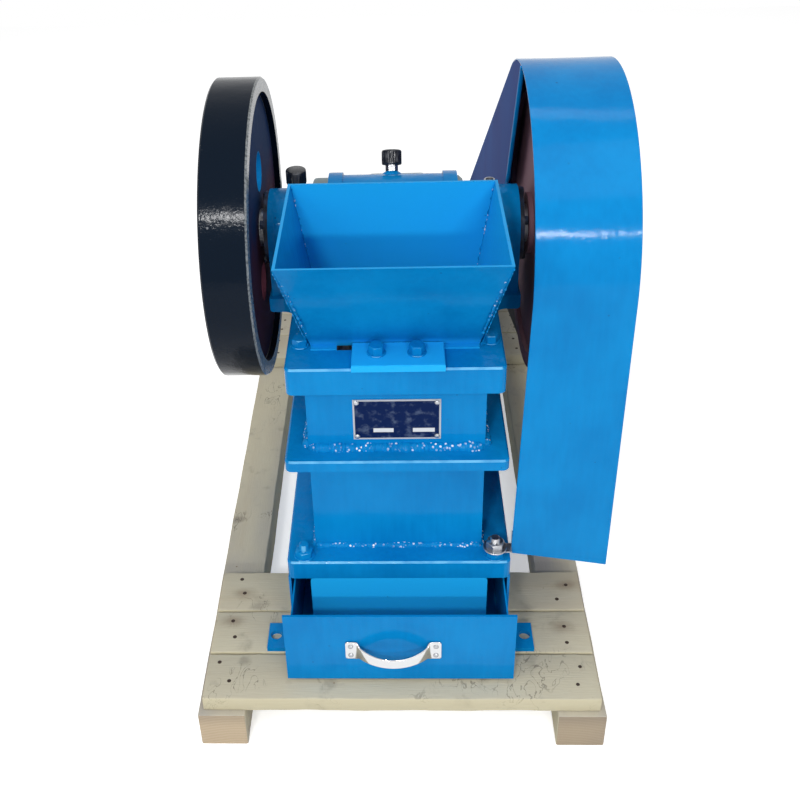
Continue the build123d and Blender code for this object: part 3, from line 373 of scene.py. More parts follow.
def flywheel_enamel(scene):
    """Black crinkled enamel, grey where it is rubbed on the rim's sides; inside the rim, navy
    overspray over primer."""
    paint = scene.crusher_paint
    coat = Finish("flywheel_enamel")
    rim = high("flywheel")[2] - AXLE_Z - 0.018  # just inside the rim
    inside = 1 - coat.away((0, AXLE_Y, AXLE_Z), (0, 1, 1)).above(rim, 0.001)
    low_down = (AXLE_Z - coat.axis(2)).above(-0.02, 0.12)
    patches = (0.5 * coat.noise(0.09, 3, warp=0.6) + 0.5 * low_down).above(0.5, 0.14)
    web = coat.mix(patches, paint.navy, paint.primer)
    web = coat.mix(0.45, web, paint.black)
    for side, inner in ((1, paint.blue), (-1, paint.primer)):
        spoke = side * HOLE_CIRCLE * np.array([np.cos(HOLE_TURN), np.sin(HOLE_TURN)])
        hole = (0, AXLE_Y + spoke[0], AXLE_Z + spoke[1])
        near = 1 - coat.away(hole, (0, 1, 1)).above(HOLE_RADIUS + 0.0012, 0.0008)
        web = coat.mix(near, web, inner)
    chips = (1 - coat.cells(0.02).above(0.06, 0.02)) * coat.noise(0.08, 1).above(0.55, 0.05)
    black = coat.mix(chips * 0.6, paint.black, (0.35, 0.36, 0.38))
    turned_in = coat.axis(0, coat.facing).above(0.3, 0.15)
    grain = coat.noise(0.003, 4).above(0.48, 0.16)
    black = coat.mix(turned_in * (0.3 + 0.5 * grain), black, (0.34, 0.36, 0.36))
    crinkle = coat.noise(0.0035, 2, warp=0.8)
    height = crinkle * 0.00014 + coat.noise(0.018, 2) * 0.0003
    roughness = 0.11 + 0.06 * coat.noise(0.01, 2) + 0.6 * inside
    shade = coat.mix(inside, black, web)
    return coat.done(shade, roughness, Normal=coat.bump(height), Specular_IOR_Level=0.08)


def cover_enamel(scene):
    """Black enamel of the bearing covers."""
    coat = Finish("cover_enamel")
    dust = coat.noise(0.012, 3).above(0.56, 0.14)
    shade = coat.mix(dust * 0.3, scene.crusher_paint.black, scene.crusher_paint.navy)
    return coat.done(shade, 0.3 + 0.2 * dust, Normal=coat.bump(coat.noise(0.004, 2), 0.0002))


def primed_iron(scene):
    """Cast iron in primer under blue overspray, which is thicker towards the top."""
    paint = scene.crusher_paint
    coat = Finish("primed_iron")
    height = (coat.axis(2) - AXLE_Z).above(0.06, 0.16)
    patches = (0.62 * coat.noise(0.05, 4, warp=0.5) + 0.38 * height).above(0.5, 0.09)
    blue = coat.mix(0.5, paint.navy, paint.thin_blue)
    # A quarter of the guard-inside blue, which is lifted paler as painted light, goes into the
    # primer
    mixed = coat.mix(patches, coat.mix(0.25, paint.primer, paint.guard_inside), blue)
    bump = coat.bump(coat.noise(0.004, 2), 0.00025)
    return coat.done(mixed, 0.5, Normal=bump, Specular_IOR_Level=0.12)


# Nails with a brown stain: X and the distance behind the base flange's front
STAINS = ((-0.206, 0.0845), (-0.2155, 0.037), (0.2205, 0.0975), (0.2055, 0.027))


def wood(name, scene, lengthwise, weathering, stains=()):
    """Sawn softwood: rings drawn out along the grain, knots, saw marks, grime, end grain with
    painted shade under the deck and on the right, and brown stains round the nails at (x, y)
    places."""
    tones = scene.crusher_wood
    coat = Finish(name)
    fixed = coat.place
    seed = coat.node("ShaderNodeAttribute", {"attribute_name": "seed"}, {}, 2)
    jump = coat.node(
        "ShaderNodeVectorMath", {"operation": "SCALE"}, {0: (0.7, 0.43, 0.91), "Scale": seed}
    )
    coat.place = coat.vector("ADD", fixed, jump)
    drawn = tuple(0.07 if number == lengthwise else 1 for number in range(3))
    oval = tuple(0.45 if number == lengthwise else 1 for number in range(3))
    warp = coat.noise(0.1, 2, stretch=oval)
    knots = coat.cells(0.19, stretch=oval)
    ring = coat.wave(coat.noise(0.03, 3, stretch=drawn) * 5 + warp * 3 + knots * 2)
    fibre = coat.noise(0.0016, 3, stretch=drawn)
    base = coat.mix(ring * 0.34 + fibre * 0.26, tones.pale, tones.tan)
    heart = 1 - knots.above(0.06, 0.025)
    base = coat.mix(heart * 0.7, base, tones.knot)
    halo = (1 - knots.above(0.13, 0.06)) * 0.3
    base = coat.mix(halo, base, tones.tan)
    grey = coat.noise(0.12, 4, stretch=oval).above(0.52, 0.22) * (seed * 0.03 + weathering)
    base = coat.mix(grey, base, tones.weathered)
    grime = coat.noise(0.035, 5).above(0.66, 0.09) * 0.4
    base = coat.mix(grime, base, tones.dirt)
    scribble = abs(coat.noise(0.02, 3, stretch=(1, 0.5, 1), warp=1.5) - 0.5)
    lines = (1 - scribble.above(0.012, 0.008)) * coat.noise(0.09, 1).above(0.6, 0.05)
    base = coat.mix(lines * 0.6, base, tones.dirt)
    specks = (1 - coat.cells(0.02).above(0.06, 0.02)) * coat.noise(0.07, 1).above(0.58, 0.05)
    base = coat.mix(specks * 0.6, base, tones.knot)
    coat.place = fixed
    for x, y in stains:
        spread = coat.away(at(x, y, 0), (1, 1.6, 1)) + 0.012 * coat.noise(0.012, 2)
        base = coat.mix((1 - spread.above(0.016, 0.014)) * 0.5, base, tones.knot)
    crosswise = 1 - lengthwise
    edge = abs(coat.axis(crosswise, coat.facing)).above(0.7, 0.1) * (1 - grey)
    base = coat.mix(edge * 0.6, base, tones.cream)
    end = abs(coat.axis(lengthwise, coat.facing)).above(0.7, 0.1)
    aside, up = abs(coat.axis(crosswise)) - 0.19, coat.axis(2) + 0.16
    rings = coat.wave((aside * aside + up * up) ** 0.5 * 1350 + coat.noise(0.02, 2) * 5)
    # Painted shade on the end grain: darker towards the top, under the deck boards
    shaded = coat.axis(2).above(low("pallet_front_deck")[2] - 0.012, 0.012)
    cut = coat.mix(rings * 0.5 + fibre * 0.2, tones.end, tones.tan)
    cut = coat.mix(shaded * 0.35, cut, tones.dirt)
    # Painted shade: the right stringer's end, in the guard's shade, is darker
    cut = coat.mix(coat.axis(0).above(0, 0.01) * 0.4, cut, tones.dirt)
    base = coat.mix(end * 0.85, base, cut)
    height = fibre * 0.0005 + ring * 0.0002 + coat.noise(0.012, 2) * 0.0004
    return coat.done(base, 0.76, Normal=coat.bump(height), Specular_IOR_Level=0.25)


def deck_wood(scene):
    return wood("deck_wood", scene, 0, 0.12, STAINS)


def stringer_wood(scene):
    return wood("stringer_wood", scene, 1, 0.2)


def cap_plastic(scene):
    coat = Finish("cap_plastic")
    scuffs = coat.noise(0.006, 4, stretch=(1, 1, 0.4)).above(0.6, 0.12)
    shade = coat.mix(scuffs * 0.25, scene.crusher_metal.plastic, (0.16, 0.17, 0.19))
    return coat.done(shade, 0.26 + 0.25 * scuffs, Normal=coat.bump(coat.noise(0.002), 0.00008))


def belt_rubber(scene):
    """Rubber with the fabric's fine cross ribs and pale dust."""
    coat = Finish("belt_rubber")
    dust = coat.noise(0.03, 4).above(0.52, 0.2)
    shade = coat.mix(dust * 0.3, scene.crusher_metal.rubber, (0.12, 0.12, 0.13))
    weave = coat.wave(coat.axis(1) * 2600) * coat.wave(coat.axis(2) * 2600)
    return coat.done(shade, 0.62 + 0.2 * dust, Normal=coat.bump(weave, 0.00015))


def jaw_iron(scene):
    """Cast manganese steel, dark in its hollows, rubbed on its high spots."""
    coat = Finish("jaw_iron")
    pits = coat.noise(0.004, 4)
    rust = coat.noise(0.03, 4).above(0.6, 0.1)
    shade = coat.mix(pits.above(0.5, 0.2), scene.crusher_metal.iron, (0.2, 0.2, 0.21))
    shade = coat.mix(rust * 0.4, shade, scene.crusher_paint.primer)
    return coat.done(shade, 0.42 + 0.2 * pits, Metallic=0.7, Normal=coat.bump(pits, 0.0004))


def steel(scene):
    """Zinc plated steel with fine marks and a little tarnish."""
    coat = Finish("steel")
    tarnish = coat.noise(0.008, 4).above(0.56, 0.15)
    shade = coat.mix(tarnish * 0.4, scene.crusher_metal.steel, (0.16, 0.15, 0.14))
    marks = coat.noise(0.0012, 3)
    return coat.done(shade, 0.28 + 0.2 * tarnish, Metallic=1.0, Normal=coat.bump(marks, 0.00006))


def rusty(scene):
    """Nail heads, rusted brown."""
    coat = Finish("rusty")
    shade = coat.mix(coat.noise(0.003, 3), scene.crusher_metal.nail, (0.02, 0.016, 0.013))
    return coat.done(shade, 0.6, Metallic=0.3, Normal=coat.bump(coat.noise(0.001, 2), 0.0001))


def nickel(scene):
    """Polished nickel plate with faint marks along the strap and dull spots."""
    coat = Finish("nickel")
    dull = coat.noise(0.012, 4).above(0.57, 0.12)
    shade = coat.mix(dull * 0.35, scene.crusher_metal.nickel, (0.25, 0.24, 0.24))
    marks = coat.noise(0.001, 2, stretch=(0.08, 0.08, 1))
    return coat.done(shade, 0.13 + 0.16 * dull, Metallic=1.0, Normal=coat.bump(marks, 0.00003))


def plate_print(scene):
    """Blue field in a bare rim, with two bare boxes and no lettering."""
    tones = scene.crusher_metal
    coat = Finish("plate_print")
    across, up = coat.axis(0), coat.axis(2)
    bottom, top = low("nameplate"), high("nameplate")

    def field(left, right, under, over):
        """1 inside a box given in shares of the plate."""
        spread, rise = top[0] - bottom[0], top[2] - bottom[2]
        x, half_x = bottom[0] + spread * (left + right) / 2, spread * (right - left) / 2
        z, half_z = bottom[2] + rise * (under + over) / 2, rise * (over - under) / 2
        beside = (half_x - abs(across - x)).above(0, 0.0004)
        return beside * (half_z - abs(up - z)).above(0, 0.0004)

    wear = coat.noise(0.01, 4).above(0.6, 0.12)
    blue = coat.mix(wear * 0.3, tones.print_blue, (0.2, 0.26, 0.36))
    printed = field(0.02, 0.98, 0.036, 0.964)
    bare = coat.mix(coat.noise(0.004, 3) * 0.4, (0.5, 0.52, 0.55), (0.3, 0.31, 0.33))
    shade = coat.mix(printed, bare, blue)
    for left, right in ((0.23, 0.46), (0.68, 0.93)):
        shade = coat.mix(field(left, right, 0.18, 0.28), shade, (0.62, 0.64, 0.66))
    bump = coat.bump(coat.noise(0.003), 0.00004)
    return coat.done(shade, 0.34 + 0.14 * wear, Normal=bump, Specular_IOR_Level=0.05)


def motor_paint(scene):
    """Machine paint with dust on its upper sides."""
    coat = Finish("motor_paint")
    settled = coat.axis(2, coat.facing).above(0.6, 0.4) * coat.noise(0.03, 4).above(0.45, 0.2)
    shade = coat.mix(settled * 0.4, scene.crusher_paint.motor, (0.3, 0.33, 0.34))
    peel = coat.noise(0.006, 2)
    return coat.done(shade, 0.38 + 0.25 * settled, Normal=coat.bump(peel, 0.00012))


def finish(make):
    """The finish's material, made the first time it is asked for."""
    return bpy.data.materials.get(make.__name__) or make(bpy.context.scene)


# Shapes


def waver(along, *lengths):
    """Slow irregular wave from -1 to 1: the mean of sines with these lengths, out of step."""
    waves = [np.sin(2 * pi * along / length + 1.9 * turn) for turn, length in enumerate(lengths)]
    return np.mean(waves, axis=0)


def skin(points, around=True, ends=True):
    """Part whose quads join a grid of points, rows by the first parameter; around joins each row's
    last point to its first, and ends fills the first and the last row."""
    rows, columns, _ = points.shape
    index = np.arange(rows * columns).reshape(rows, columns)
    ring = np.hstack([index, index[:, :1]]) if around else index
    quads = [ring[:-1, :-1], ring[:-1, 1:], ring[1:, 1:], ring[1:, :-1]]
    faces = [np.stack([corner.ravel() for corner in quads], axis=1)]
    if ends:
        faces += [index[:1, ::-1], index[-1:]]
    return points.reshape(-1, 3), faces


def piece(name, parts, make, body, replaces=(), crease=35, seed=None):
    """Object from parts in a finish, merged where they meet, with faces outwards, on a body."""
    vertices, polygons, start = [], [], 0
    for points, faces in parts:
        vertices.append(points)
        polygons += [row for group in faces for row in (group + start).tolist()]
        start += len(points)
    mesh = bpy.data.meshes.new(name)
    mesh.from_pydata(np.vstack(vertices), [], polygons)
    shape = bmesh.new()
    shape.from_mesh(mesh)
    bmesh.ops.remove_doubles(shape, verts=shape.verts, dist=1e-6)
    bmesh.ops.recalc_face_normals(shape, faces=shape.faces)
    shape.to_mesh(mesh)
    shape.free()
    mesh.shade_smooth()
    mesh.set_sharp_from_angle(angle=radians(crease))
    if seed is not None:
        values = mesh.attributes.new("seed", "FLOAT", "POINT").data
        values.foreach_set("value", np.full(len(values), seed, np.float32))
    mesh.materials.append(finish(make))
    thing = bpy.data.objects.new(name, mesh)
    bpy.context.scene.collection.objects.link(thing)
    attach(thing, body)
    if replaces:
        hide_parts(*replaces)


def turned(centre, axis, radii, heights, count=40, phase=0.0):
    """Radii carried round an axis: radii[i] or radii[i, j] at heights[i] along it from centre."""
    axis = np.array(axis, float)
    first = (0.0, 1, 0) if abs(axis[0]) > 0.5 else (1.0, 0, 0)
    second = np.cross(axis, first)
    radii = np.array(radii, float).reshape(len(heights), -1, 1)
    count = radii.shape[1] if radii.shape[1] > 1 else count
    turn = phase + np.arange(count) * 2 * pi / count
    spokes = np.cos(turn)[:, None] * first + np.sin(turn)[:, None] * second
    return centre + radii * spokes + np.array(heights)[:, None, None] * axis


def rounded(half_width, half_height, radius, steps=5):
    """Loops of a rectangle with round corners, one for each value of the three arrays."""
    half_width, half_height, radius = np.broadcast_arrays(
        *(np.atleast_1d(value)[:, None] for value in (half_width, half_height, radius))
    )
    turn = np.linspace(0, pi / 2, steps)
    turns = np.concatenate([turn + quarter * pi / 2 for quarter in range(4)])
    right = np.sign(np.cos(np.repeat(np.arange(4) * pi / 2 + pi / 4, steps)))
    upper = np.sign(np.sin(np.repeat(np.arange(4) * pi / 2 + pi / 4, steps)))
    across = right * (half_width - radius) + radius * np.cos(turns)
    up = upper * (half_height - radius) + radius * np.sin(turns)
    return np.stack([across, up], axis=-1)


def carried(path, across, up, loops):
    """A loop carried along a path; across and up are its two directions, for all points or each."""
    across, up = (np.broadcast_to(way, path.shape)[:, None] for way in (across, up))
    return path[:, None] + loops[..., :1] * across + loops[..., 1:] * up


def lengths(line):
    """Distance of each point of a line from its start, along the line."""
    return np.concatenate([[0], np.cumsum(np.linalg.norm(np.diff(line, axis=0), axis=1))])


def headings(line):
    """Unit vector along a line at each of its points."""
    way = np.gradient(line, axis=0)
    return way / np.linalg.norm(way, axis=1)[:, None]


def hexagon(flats, height, count=48):
    """Radii and heights of a hexagon nut or head: straight flats cut by a cone at 30 degrees."""
    turn = np.arange(count) * 2 * pi / count
    flat = flats / 2 / np.cos(turn % (pi / 3) - pi / 6)
    heights = height * np.array([0, 0, 0.12, 0.8, 0.86, 0.93, 1, 1])
    cone = flats / 2 * np.array([1.1, 1.1, 1.16, 1.16, 1.12, 1.05, 0.95, 0.95])
    radii = np.minimum(flat, cone[:, None])
    radii[0] = radii[-1] = 0
    return radii, heights


def dome(centre, axis, radius, height, count=20):
    """Round head: an ellipse's quarter turned about its axis."""
    turn = np.linspace(0, pi / 2, 7)
    radii = np.concatenate([[0], radius * np.cos(turn)])
    return skin(turned(centre, axis, radii, np.concatenate([[0], height * np.sin(turn)]), count))


def washer(centre, axis, radius, thickness):
    """Disc with its rim rounded over."""
    edge = thickness / 3
    radii = [0, radius - edge, radius, radius, radius - edge, 0]
    heights = [0, 0, edge, thickness - edge, thickness, thickness]
    return skin(turned(centre, axis, radii, heights, 36))


def bolt(centre, axis, flats, height, under=0.0016, spread=1.15, stem=0.0, twist=0.0):
    """Washer, hexagon and, where stem is over 0, the threaded end that sticks out of the nut."""
    axis = np.array(axis, float)
    radii, heights = hexagon(flats, height)
    top = centre + axis * under
    parts = [
        washer(centre, axis, spread * flats / 2 * 1.15, under),
        skin(turned(top, axis, radii, heights, 48, twist)),
    ]
    if stem:
        rise = np.linspace(0, stem, 2 * int(stem / 0.0009))
        thread = flats * 0.29 + 0.0003 * (-1.0) ** np.arange(len(rise))
        thread[-2:] = flats * 0.24, 0
        thread[0] = 0
        rise[-1] = rise[-2]
        parts.append(skin(turned(top + axis * height, axis, thread, rise, 24)))
    return parts


def bead(start, end, out, up, leg, ripple=0.0055, seed=0.0):
    """Weld in a corner from start to end: a quarter circle between out and up whose leg swells with
    each stroke of the torch and wavers along the seam."""
    start, end, out, up = (np.array(value, float) for value in (start, end, out, up))
    length = np.linalg.norm(end - start)
    along = np.linspace(0, length, max(8, int(length / 0.0008)))
    stroke = np.abs(np.sin(pi * along / ripple + 2 * waver(along + seed, 0.031, 0.047)))
    legs = leg * (0.82 + 0.16 * stroke + 0.22 * waver(along + seed, 0.083, 0.037, 0.019))
    legs *= np.clip(np.minimum(along, length - along) / leg + 0.35, 0, 1)
    path = start + along[:, None] / length * (end - start)
    turn = np.linspace(0, pi / 2, 8)
    arc = legs[:, None, None] * (np.cos(turn)[:, None] * out + np.sin(turn)[:, None] * up)
    root = -0.0006 * (out + up)
    return skin(np.concatenate([path[:, None] + arc, path[:, None] + root], axis=1))


def spots(start, end, radius, pitch, seed):
    """Tack welds along an edge: a thin tube that swells at each tack."""
    start, end = np.array(start, float), np.array(end, float)
    length = np.linalg.norm(end - start)
    along = np.linspace(0, length, int(length / 0.0007))
    tack = np.clip(np.cos(2 * pi * along / pitch + 3 * waver(along + seed, 0.11, 0.043)), 0, 1)
    swell = radius * (0.3 + 0.7 * tack**2 * (0.75 + 0.25 * waver(along + seed, 0.05, 0.023)))
    way = (end - start) / length
    first = np.cross(way, (0, 1, 0))
    first /= np.linalg.norm(first)
    turn = np.arange(10) * 2 * pi / 10
    round_it = np.cos(turn)[:, None] * first + np.sin(turn)[:, None] * np.cross(way, first)
    return skin(start + along[:, None, None] * way + swell[:, None, None] * round_it)


def arc(centre, radius, start, end, count):
    """Points (y, z) on a circle from one angle to another, in degrees."""
    turn = np.radians(np.linspace(start, end, count))
    return np.stack([centre[0] + radius * np.cos(turn), centre[1] + radius * np.sin(turn)], axis=1)


# Operators, one for each piece or group of like pieces


class CRUSHER_OT_paint(bpy.types.Operator):
    """Gives every node of the packed model its finish"""

    bl_idname = "crusher.paint"
    bl_label = "Paint the machine"

    def execute(self, context):
        makes = {name: make for make, names in NODE_FINISHES.items() for name in names}
        for name, node in NODES.items():
            node.data.materials.clear()
            node.data.materials.append(finish(makes.get(name, cast_enamel)))
        return {"FINISHED"}


# Nodes of each finish; cast enamel is on all others
NODE_FINISHES = {
    stringer_wood: ("pallet_stringer_left", "pallet_stringer_right"),
    deck_wood: ("pallet_front_deck", "pallet_rear_deck"),
    sheet_enamel: (
        "front_wall", "drawer_tray", "drawer_front",
        "guard_band", "guard_outer_plate", "guard_stay",
    ),
    # Painted light on the apron and the clamp, which stand in shadow
    fresh_enamel: ("base_apron", "hopper_clamp"),
    hopper_enamel: ("hopper",),
    guard_inside_enamel: ("guard_inner_plate",),
    flywheel_enamel: ("flywheel",),
    primed_iron: ("drive_pulley", "motor_pulley"),
    belt_rubber: ("drive_belt_1", "drive_belt_2"),
    steel: ("eccentric_shaft", "guard_clip", "oil_cup_right"),
    jaw_iron: ("fixed_jaw_plate", "swing_jaw_plate", "toggle_plate"),
    nickel: ("drawer_handle",),
    plate_print: ("nameplate",),
    cap_plastic: ("oil_cup_left", "oil_cup_centre"),
    cover_enamel: ("bearing_cover_left", "bearing_cover_right"),
    motor_paint: ("motor",),
}


class BoardSettings(bpy.types.PropertyGroup):
    """The pallet's boards and nails."""

    seam: size("Seam", "Gap between two boards", 0.0016)
    edge: size("Edge radius", "Rounding of a board's worn edges", 0.0018)
    front: IntProperty(name="Front boards", description="Boards of the front deck", default=3)
    rear: IntProperty(name="Rear boards", description="Boards of the rear deck", default=5)
    nail: size("Nail head", "Radius of a nail's head", 0.0028)


class CRUSHER_OT_boards(bpy.types.Operator):
    """Lays the two decks as single boards with worn edges and the stringers as sawn beams"""

    bl_idname = "crusher.boards"
    bl_label = "Lay the pallet's boards"

    def execute(self, context):
        settings = context.scene.crusher_boards
        for deck, count in (("front", settings.front), ("rear", settings.rear)):
            node = f"pallet_{deck}_deck"
            bottom, top = low(node), high(node)
            edges = np.linspace(bottom[1], top[1], count + 1)
            for number in range(count):
                bottom[1] = edges[number] + (settings.seam / 2 if number else 0)
                top[1] = edges[number + 1] - (settings.seam / 2 if number < count - 1 else 0)
                seed = 3.1 * number + (7.7 if deck == "rear" else 0)
                name = f"{deck}_board_{number + 1}"
                self.beam(name, bottom, top, 0, seed, deck_wood, node, settings.edge)
        for side, seed in (("left", 21.3), ("right", 27.9)):
            node = f"pallet_stringer_{side}"
            ends = low(node), high(node)
            self.beam(f"{side}_stringer", *ends, 1, seed, stringer_wood, node, settings.edge)
        return {"FINISHED"}

    def beam(self, name, bottom, top, lengthwise, seed, make, node, edge):
        """A rectangle with worn corners carried along the beam; its sides waver by half a
        millimetre, its corners are worn unevenly and its ends are rounded over."""
        length = top[lengthwise] - bottom[lengthwise]
        ends = edge * np.array([0, 0.12, 0.5, 1])
        along = np.concatenate([ends, np.linspace(0.01, length - 0.01, 90), length - ends[::-1]])
        inset = np.clip(1 - np.minimum(along, length - along) / edge, 0, 1)
        inset = edge * (1 - np.sqrt(1 - inset**2))
        worn = edge * (1 + 0.35 * waver(along + seed, 0.11, 0.043))
        sway = 0.0004 * (1 + waver(along + seed, 0.31, 0.13))
        crosswise = 1 - lengthwise
        half = (top - bottom) / 2
        loops = rounded(half[crosswise] - inset - sway, half[2] - inset - sway / 2, worn, 4)
        across, way = np.eye(3)[crosswise], np.eye(3)[lengthwise]
        path = (bottom + top) / 2 + (along - length / 2)[:, None] * way
        shape = skin(carried(path, across, (0, 0, 1), loops))
        piece(name, [shape], make, "frame", [node], seed=seed)


class CRUSHER_OT_nails(bpy.types.Operator):
    """Drives nails through the deck boards into the stringers"""

    bl_idname = "crusher.nails"
    bl_label = "Drive the nails"

    def execute(self, context):
        settings = context.scene.crusher_boards
        front = [
            (-0.2125, 0.109), (-0.206, 0.0845), (-0.2155, 0.037), (-0.210, 0.011),
            (-0.224, -0.0285), (-0.2085, -0.0565), (0.2205, 0.0975), (0.2055, 0.073),
            (0.2085, 0.0275), (0.2085, 0.002), (0.219, -0.035), (0.2125, -0.061),
        ]
        heads = [at(x, y, 0) for x, y in front]
        start, end = low("pallet_rear_deck")[1], high("pallet_rear_deck")[1]
        pitch = (end - start) / settings.rear
        for number in range(2 * settings.rear):
            for sign in (-1, 1):
                x = sign * (0.213 + 0.004 * waver(number + sign, 2.3, 3.7))
                y = start + pitch * (number + 0.5) / 2 + 0.003 * waver(number + sign, 3.1)
                heads.append(np.array([x, y, DECK_TOP]))
        sunk = (0, 0, 0.0006)
        parts = [dome(head - sunk, (0, 0, 1), settings.nail, 0.0009) for head in heads]
        piece("pallet_nails", parts, rusty, "frame")
        return {"FINISHED"}


class BoltSettings(bpy.types.PropertyGroup):
    """Bolts, nuts, screws and rivets."""

    stud: size("Stud nut", "Across the flats of the base flange's nuts", 0.019)
    frame_bolt: size("Frame bolt", "Across the flats of the top flange's bolts", 0.0155)
    cover_bolt: size("Cover bolt", "Across the flats of the bearing covers' bolts", 0.010)
    cover_circle: size("Cover circle", "Radius of the circle of the cover bolts", 0.0365)
    motor_bolt: size("Motor bolt", "Across the flats of the motor's foot bolts", 0.015)
    screw: size("Screw", "Radius of a nameplate screw or a handle rivet", 0.0032)


class CRUSHER_OT_bolts(bpy.types.Operator):
    """Fits the bolts and nuts of the frame, the bearings and the guard's stay"""

    bl_idname = "crusher.bolts"
    bl_label = "Fit the bolts"

    def execute(self, context):
        sizes = context.scene.crusher_bolts
        up = (0, 0, 1)
        base = high("base_flange")[2] - DECK_TOP
        rear = high("base_flange")[1] - BODY_FRONT - 0.015
        studs = []
        for x, y, twist, stem in (
            (-0.1125, 0.013, 0.3, 0.009), (0.1145, 0.0125, 0.5, 0),
            (-0.1125, rear, 0.9, 0.009), (0.1145, rear, 0.1, 0.009),
        ):
            studs += bolt(at(x, y, base), up, sizes.stud, 0.0082, stem=stem, twist=twist)
        piece("base_studs", studs, cast_enamel, "frame")
        strap = low("guard_clip")[2] + 0.012 - DECK_TOP
        nut = bolt(at(0.1145, 0.0125, strap), up, sizes.stud, 0.0085, 0.0018, 1.3, 0.006, 0.2)
        piece("clip_nut", nut, steel, "frame")

        top = high("top_flange")[2] - DECK_TOP
        rear = high("top_flange")[1] - BODY_FRONT - 0.02
        bolts = []
        for x, y, twist in (
            (-0.1035, 0.052, 0.4), (0.1045, 0.056, 0.0), (-0.1, rear, 0.2), (0.1, rear, 0.7),
        ):
            bolts += bolt(at(x, y, top), up, sizes.frame_bolt, 0.0085, twist=twist)
        piece("top_flange_bolts", bolts, cast_enamel, "frame")

        clamp = high("hopper_clamp")[2] - DECK_TOP
        bolts = []
        for x, twist in ((-0.0195, 0.25), (0.0235, 0.0)):
            bolts += bolt(at(x, 0.023, clamp), up, sizes.frame_bolt, 0.0095, twist=twist)
        piece("clamp_bolts", bolts, cast_enamel, "frame")

        for side, sign in SIDES:
            face = (high if sign > 0 else low)(f"bearing_cover_{side}")[0]
            bolts = []
            for number in range(4):
                turn = radians(58.5) + number * pi / 2
                spoke = sizes.cover_circle * np.array([0, np.cos(turn), np.sin(turn)])
                spot = spoke + (face, AXLE_Y, AXLE_Z)
                bolts += bolt(spot, (sign, 0, 0), sizes.cover_bolt, 0.0036, 0.0006, 1.0, twist=turn)
            piece(f"cover_bolts_{side}", bolts, cover_enamel, "frame")

        stay = (low("guard_stay") + high("guard_stay")) / 2
        outside = low("guard_stay")[0]
        bolts = []
        for z in (low("guard_stay")[2] + 0.02, high("guard_stay")[2] - 0.016):
            spot = np.array([outside, stay[1], z])
            bolts += bolt(spot, (-1, 0, 0), sizes.cover_bolt, 0.005, 0.0012)
        piece("stay_bolts", bolts, cast_enamel, "frame")
        return {"FINISHED"}


class WeldSettings(bpy.types.PropertyGroup):
    """Welded seams of the frame and the hopper."""

    leg: size("Leg", "Leg of the welds between walls and flanges", 0.0048)
    tack: size("Tack", "Radius of the hopper's tack welds", 0.0021)
    pitch: size("Pitch", "Distance between two tacks", 0.017)


class CRUSHER_OT_welds(bpy.types.Operator):
    """Welds the frame's walls to its flanges and tacks the hopper's corners"""

    bl_idname = "crusher.welds"
    bl_label = "Weld the frame and the hopper"

    def execute(self, context):
        settings = context.scene.crusher_welds
        left, front_y = low("front_wall")[:2]
        right = high("front_wall")[0]
        back = high("rear_wall")[1]
        seams = (
            ("base_weld", high("base_flange")[2], 1, 0.9),
            ("mid_weld_below", low("mid_flange")[2], -1, 0.55),
            ("mid_weld", high("mid_flange")[2], 1, 1.6),
            ("top_weld", low("top_flange")[2], -1, 0.6),
        )
        for number, (name, z, rise, share_of_leg) in enumerate(seams):
            leg = settings.leg * share_of_leg
            up = (0, 0, rise)
            turns = [(left, front_y), (right, front_y), (right, back), (left, back)]
            outs = [(0, -1, 0), (1, 0, 0), (0, 1, 0), (-1, 0, 0)]
            beads = []
            for step, out in enumerate(outs):
                start, end = turns[step], turns[(step + 1) % 4]
                seed = 0.37 * number + 0.11 * step
                beads.append(bead((*start, z), (*end, z), out, up, leg, seed=seed))
            piece(name, beads, weld_enamel, "frame")

        rim, throat = self.hopper_corners()
        seams = []
        for number in range(4):
            inwards = np.array([-np.sign(rim[number][0]), 1 if number < 2 else -1, 0])
            edge = rim[number] + 0.0028 * inwards, throat[number] + 0.0028 * inwards
            reach = edge[1] - edge[0]
            start, end = edge[0] + 0.03 * reach, edge[0] + 0.8 * reach
            seams.append(spots(start, end, settings.tack, settings.pitch, number * 0.31))
        piece("hopper_seams_inside", seams, weld_enamel, "frame")
        seams = []
        for number in range(4):
            start = rim[number] + 0.03 * (throat[number] - rim[number])
            end = rim[number] + 0.97 * (throat[number] - rim[number])
            seed = number * 0.47 + 0.2
            seams.append(spots(start, end, 0.55 * settings.tack, 0.8 * settings.pitch, seed))
        piece("hopper_seams_outside", seams, sheet_enamel, "frame")
        return {"FINISHED"}

    def hopper_corners(self):
        """Rim and throat corners: front left, front right, back right, back left."""
        vertices = corners("hopper")
        found = []
        for level in (vertices[:, 2].max(), vertices[:, 2].min()):
            ring = vertices[np.abs(vertices[:, 2] - level) < 1e-5]
            (x0, y0), (x1, y1) = ring[:, :2].min(axis=0), ring[:, :2].max(axis=0)
            plan = (x0, y0), (x1, y0), (x1, y1), (x0, y1)
            found.append([np.array([x, y, level]) for x, y in plan])
        return found


class HandleSettings(bpy.types.PropertyGroup):
    """The drawer's bow handle."""

    foot: size("Foot", "Width of each riveted foot", 0.013)
    strap: size("Strap", "Thickness of the bow's strap", 0.0026)
    bend: size("Bend", "Radius of the bend from foot to bow", 0.006)


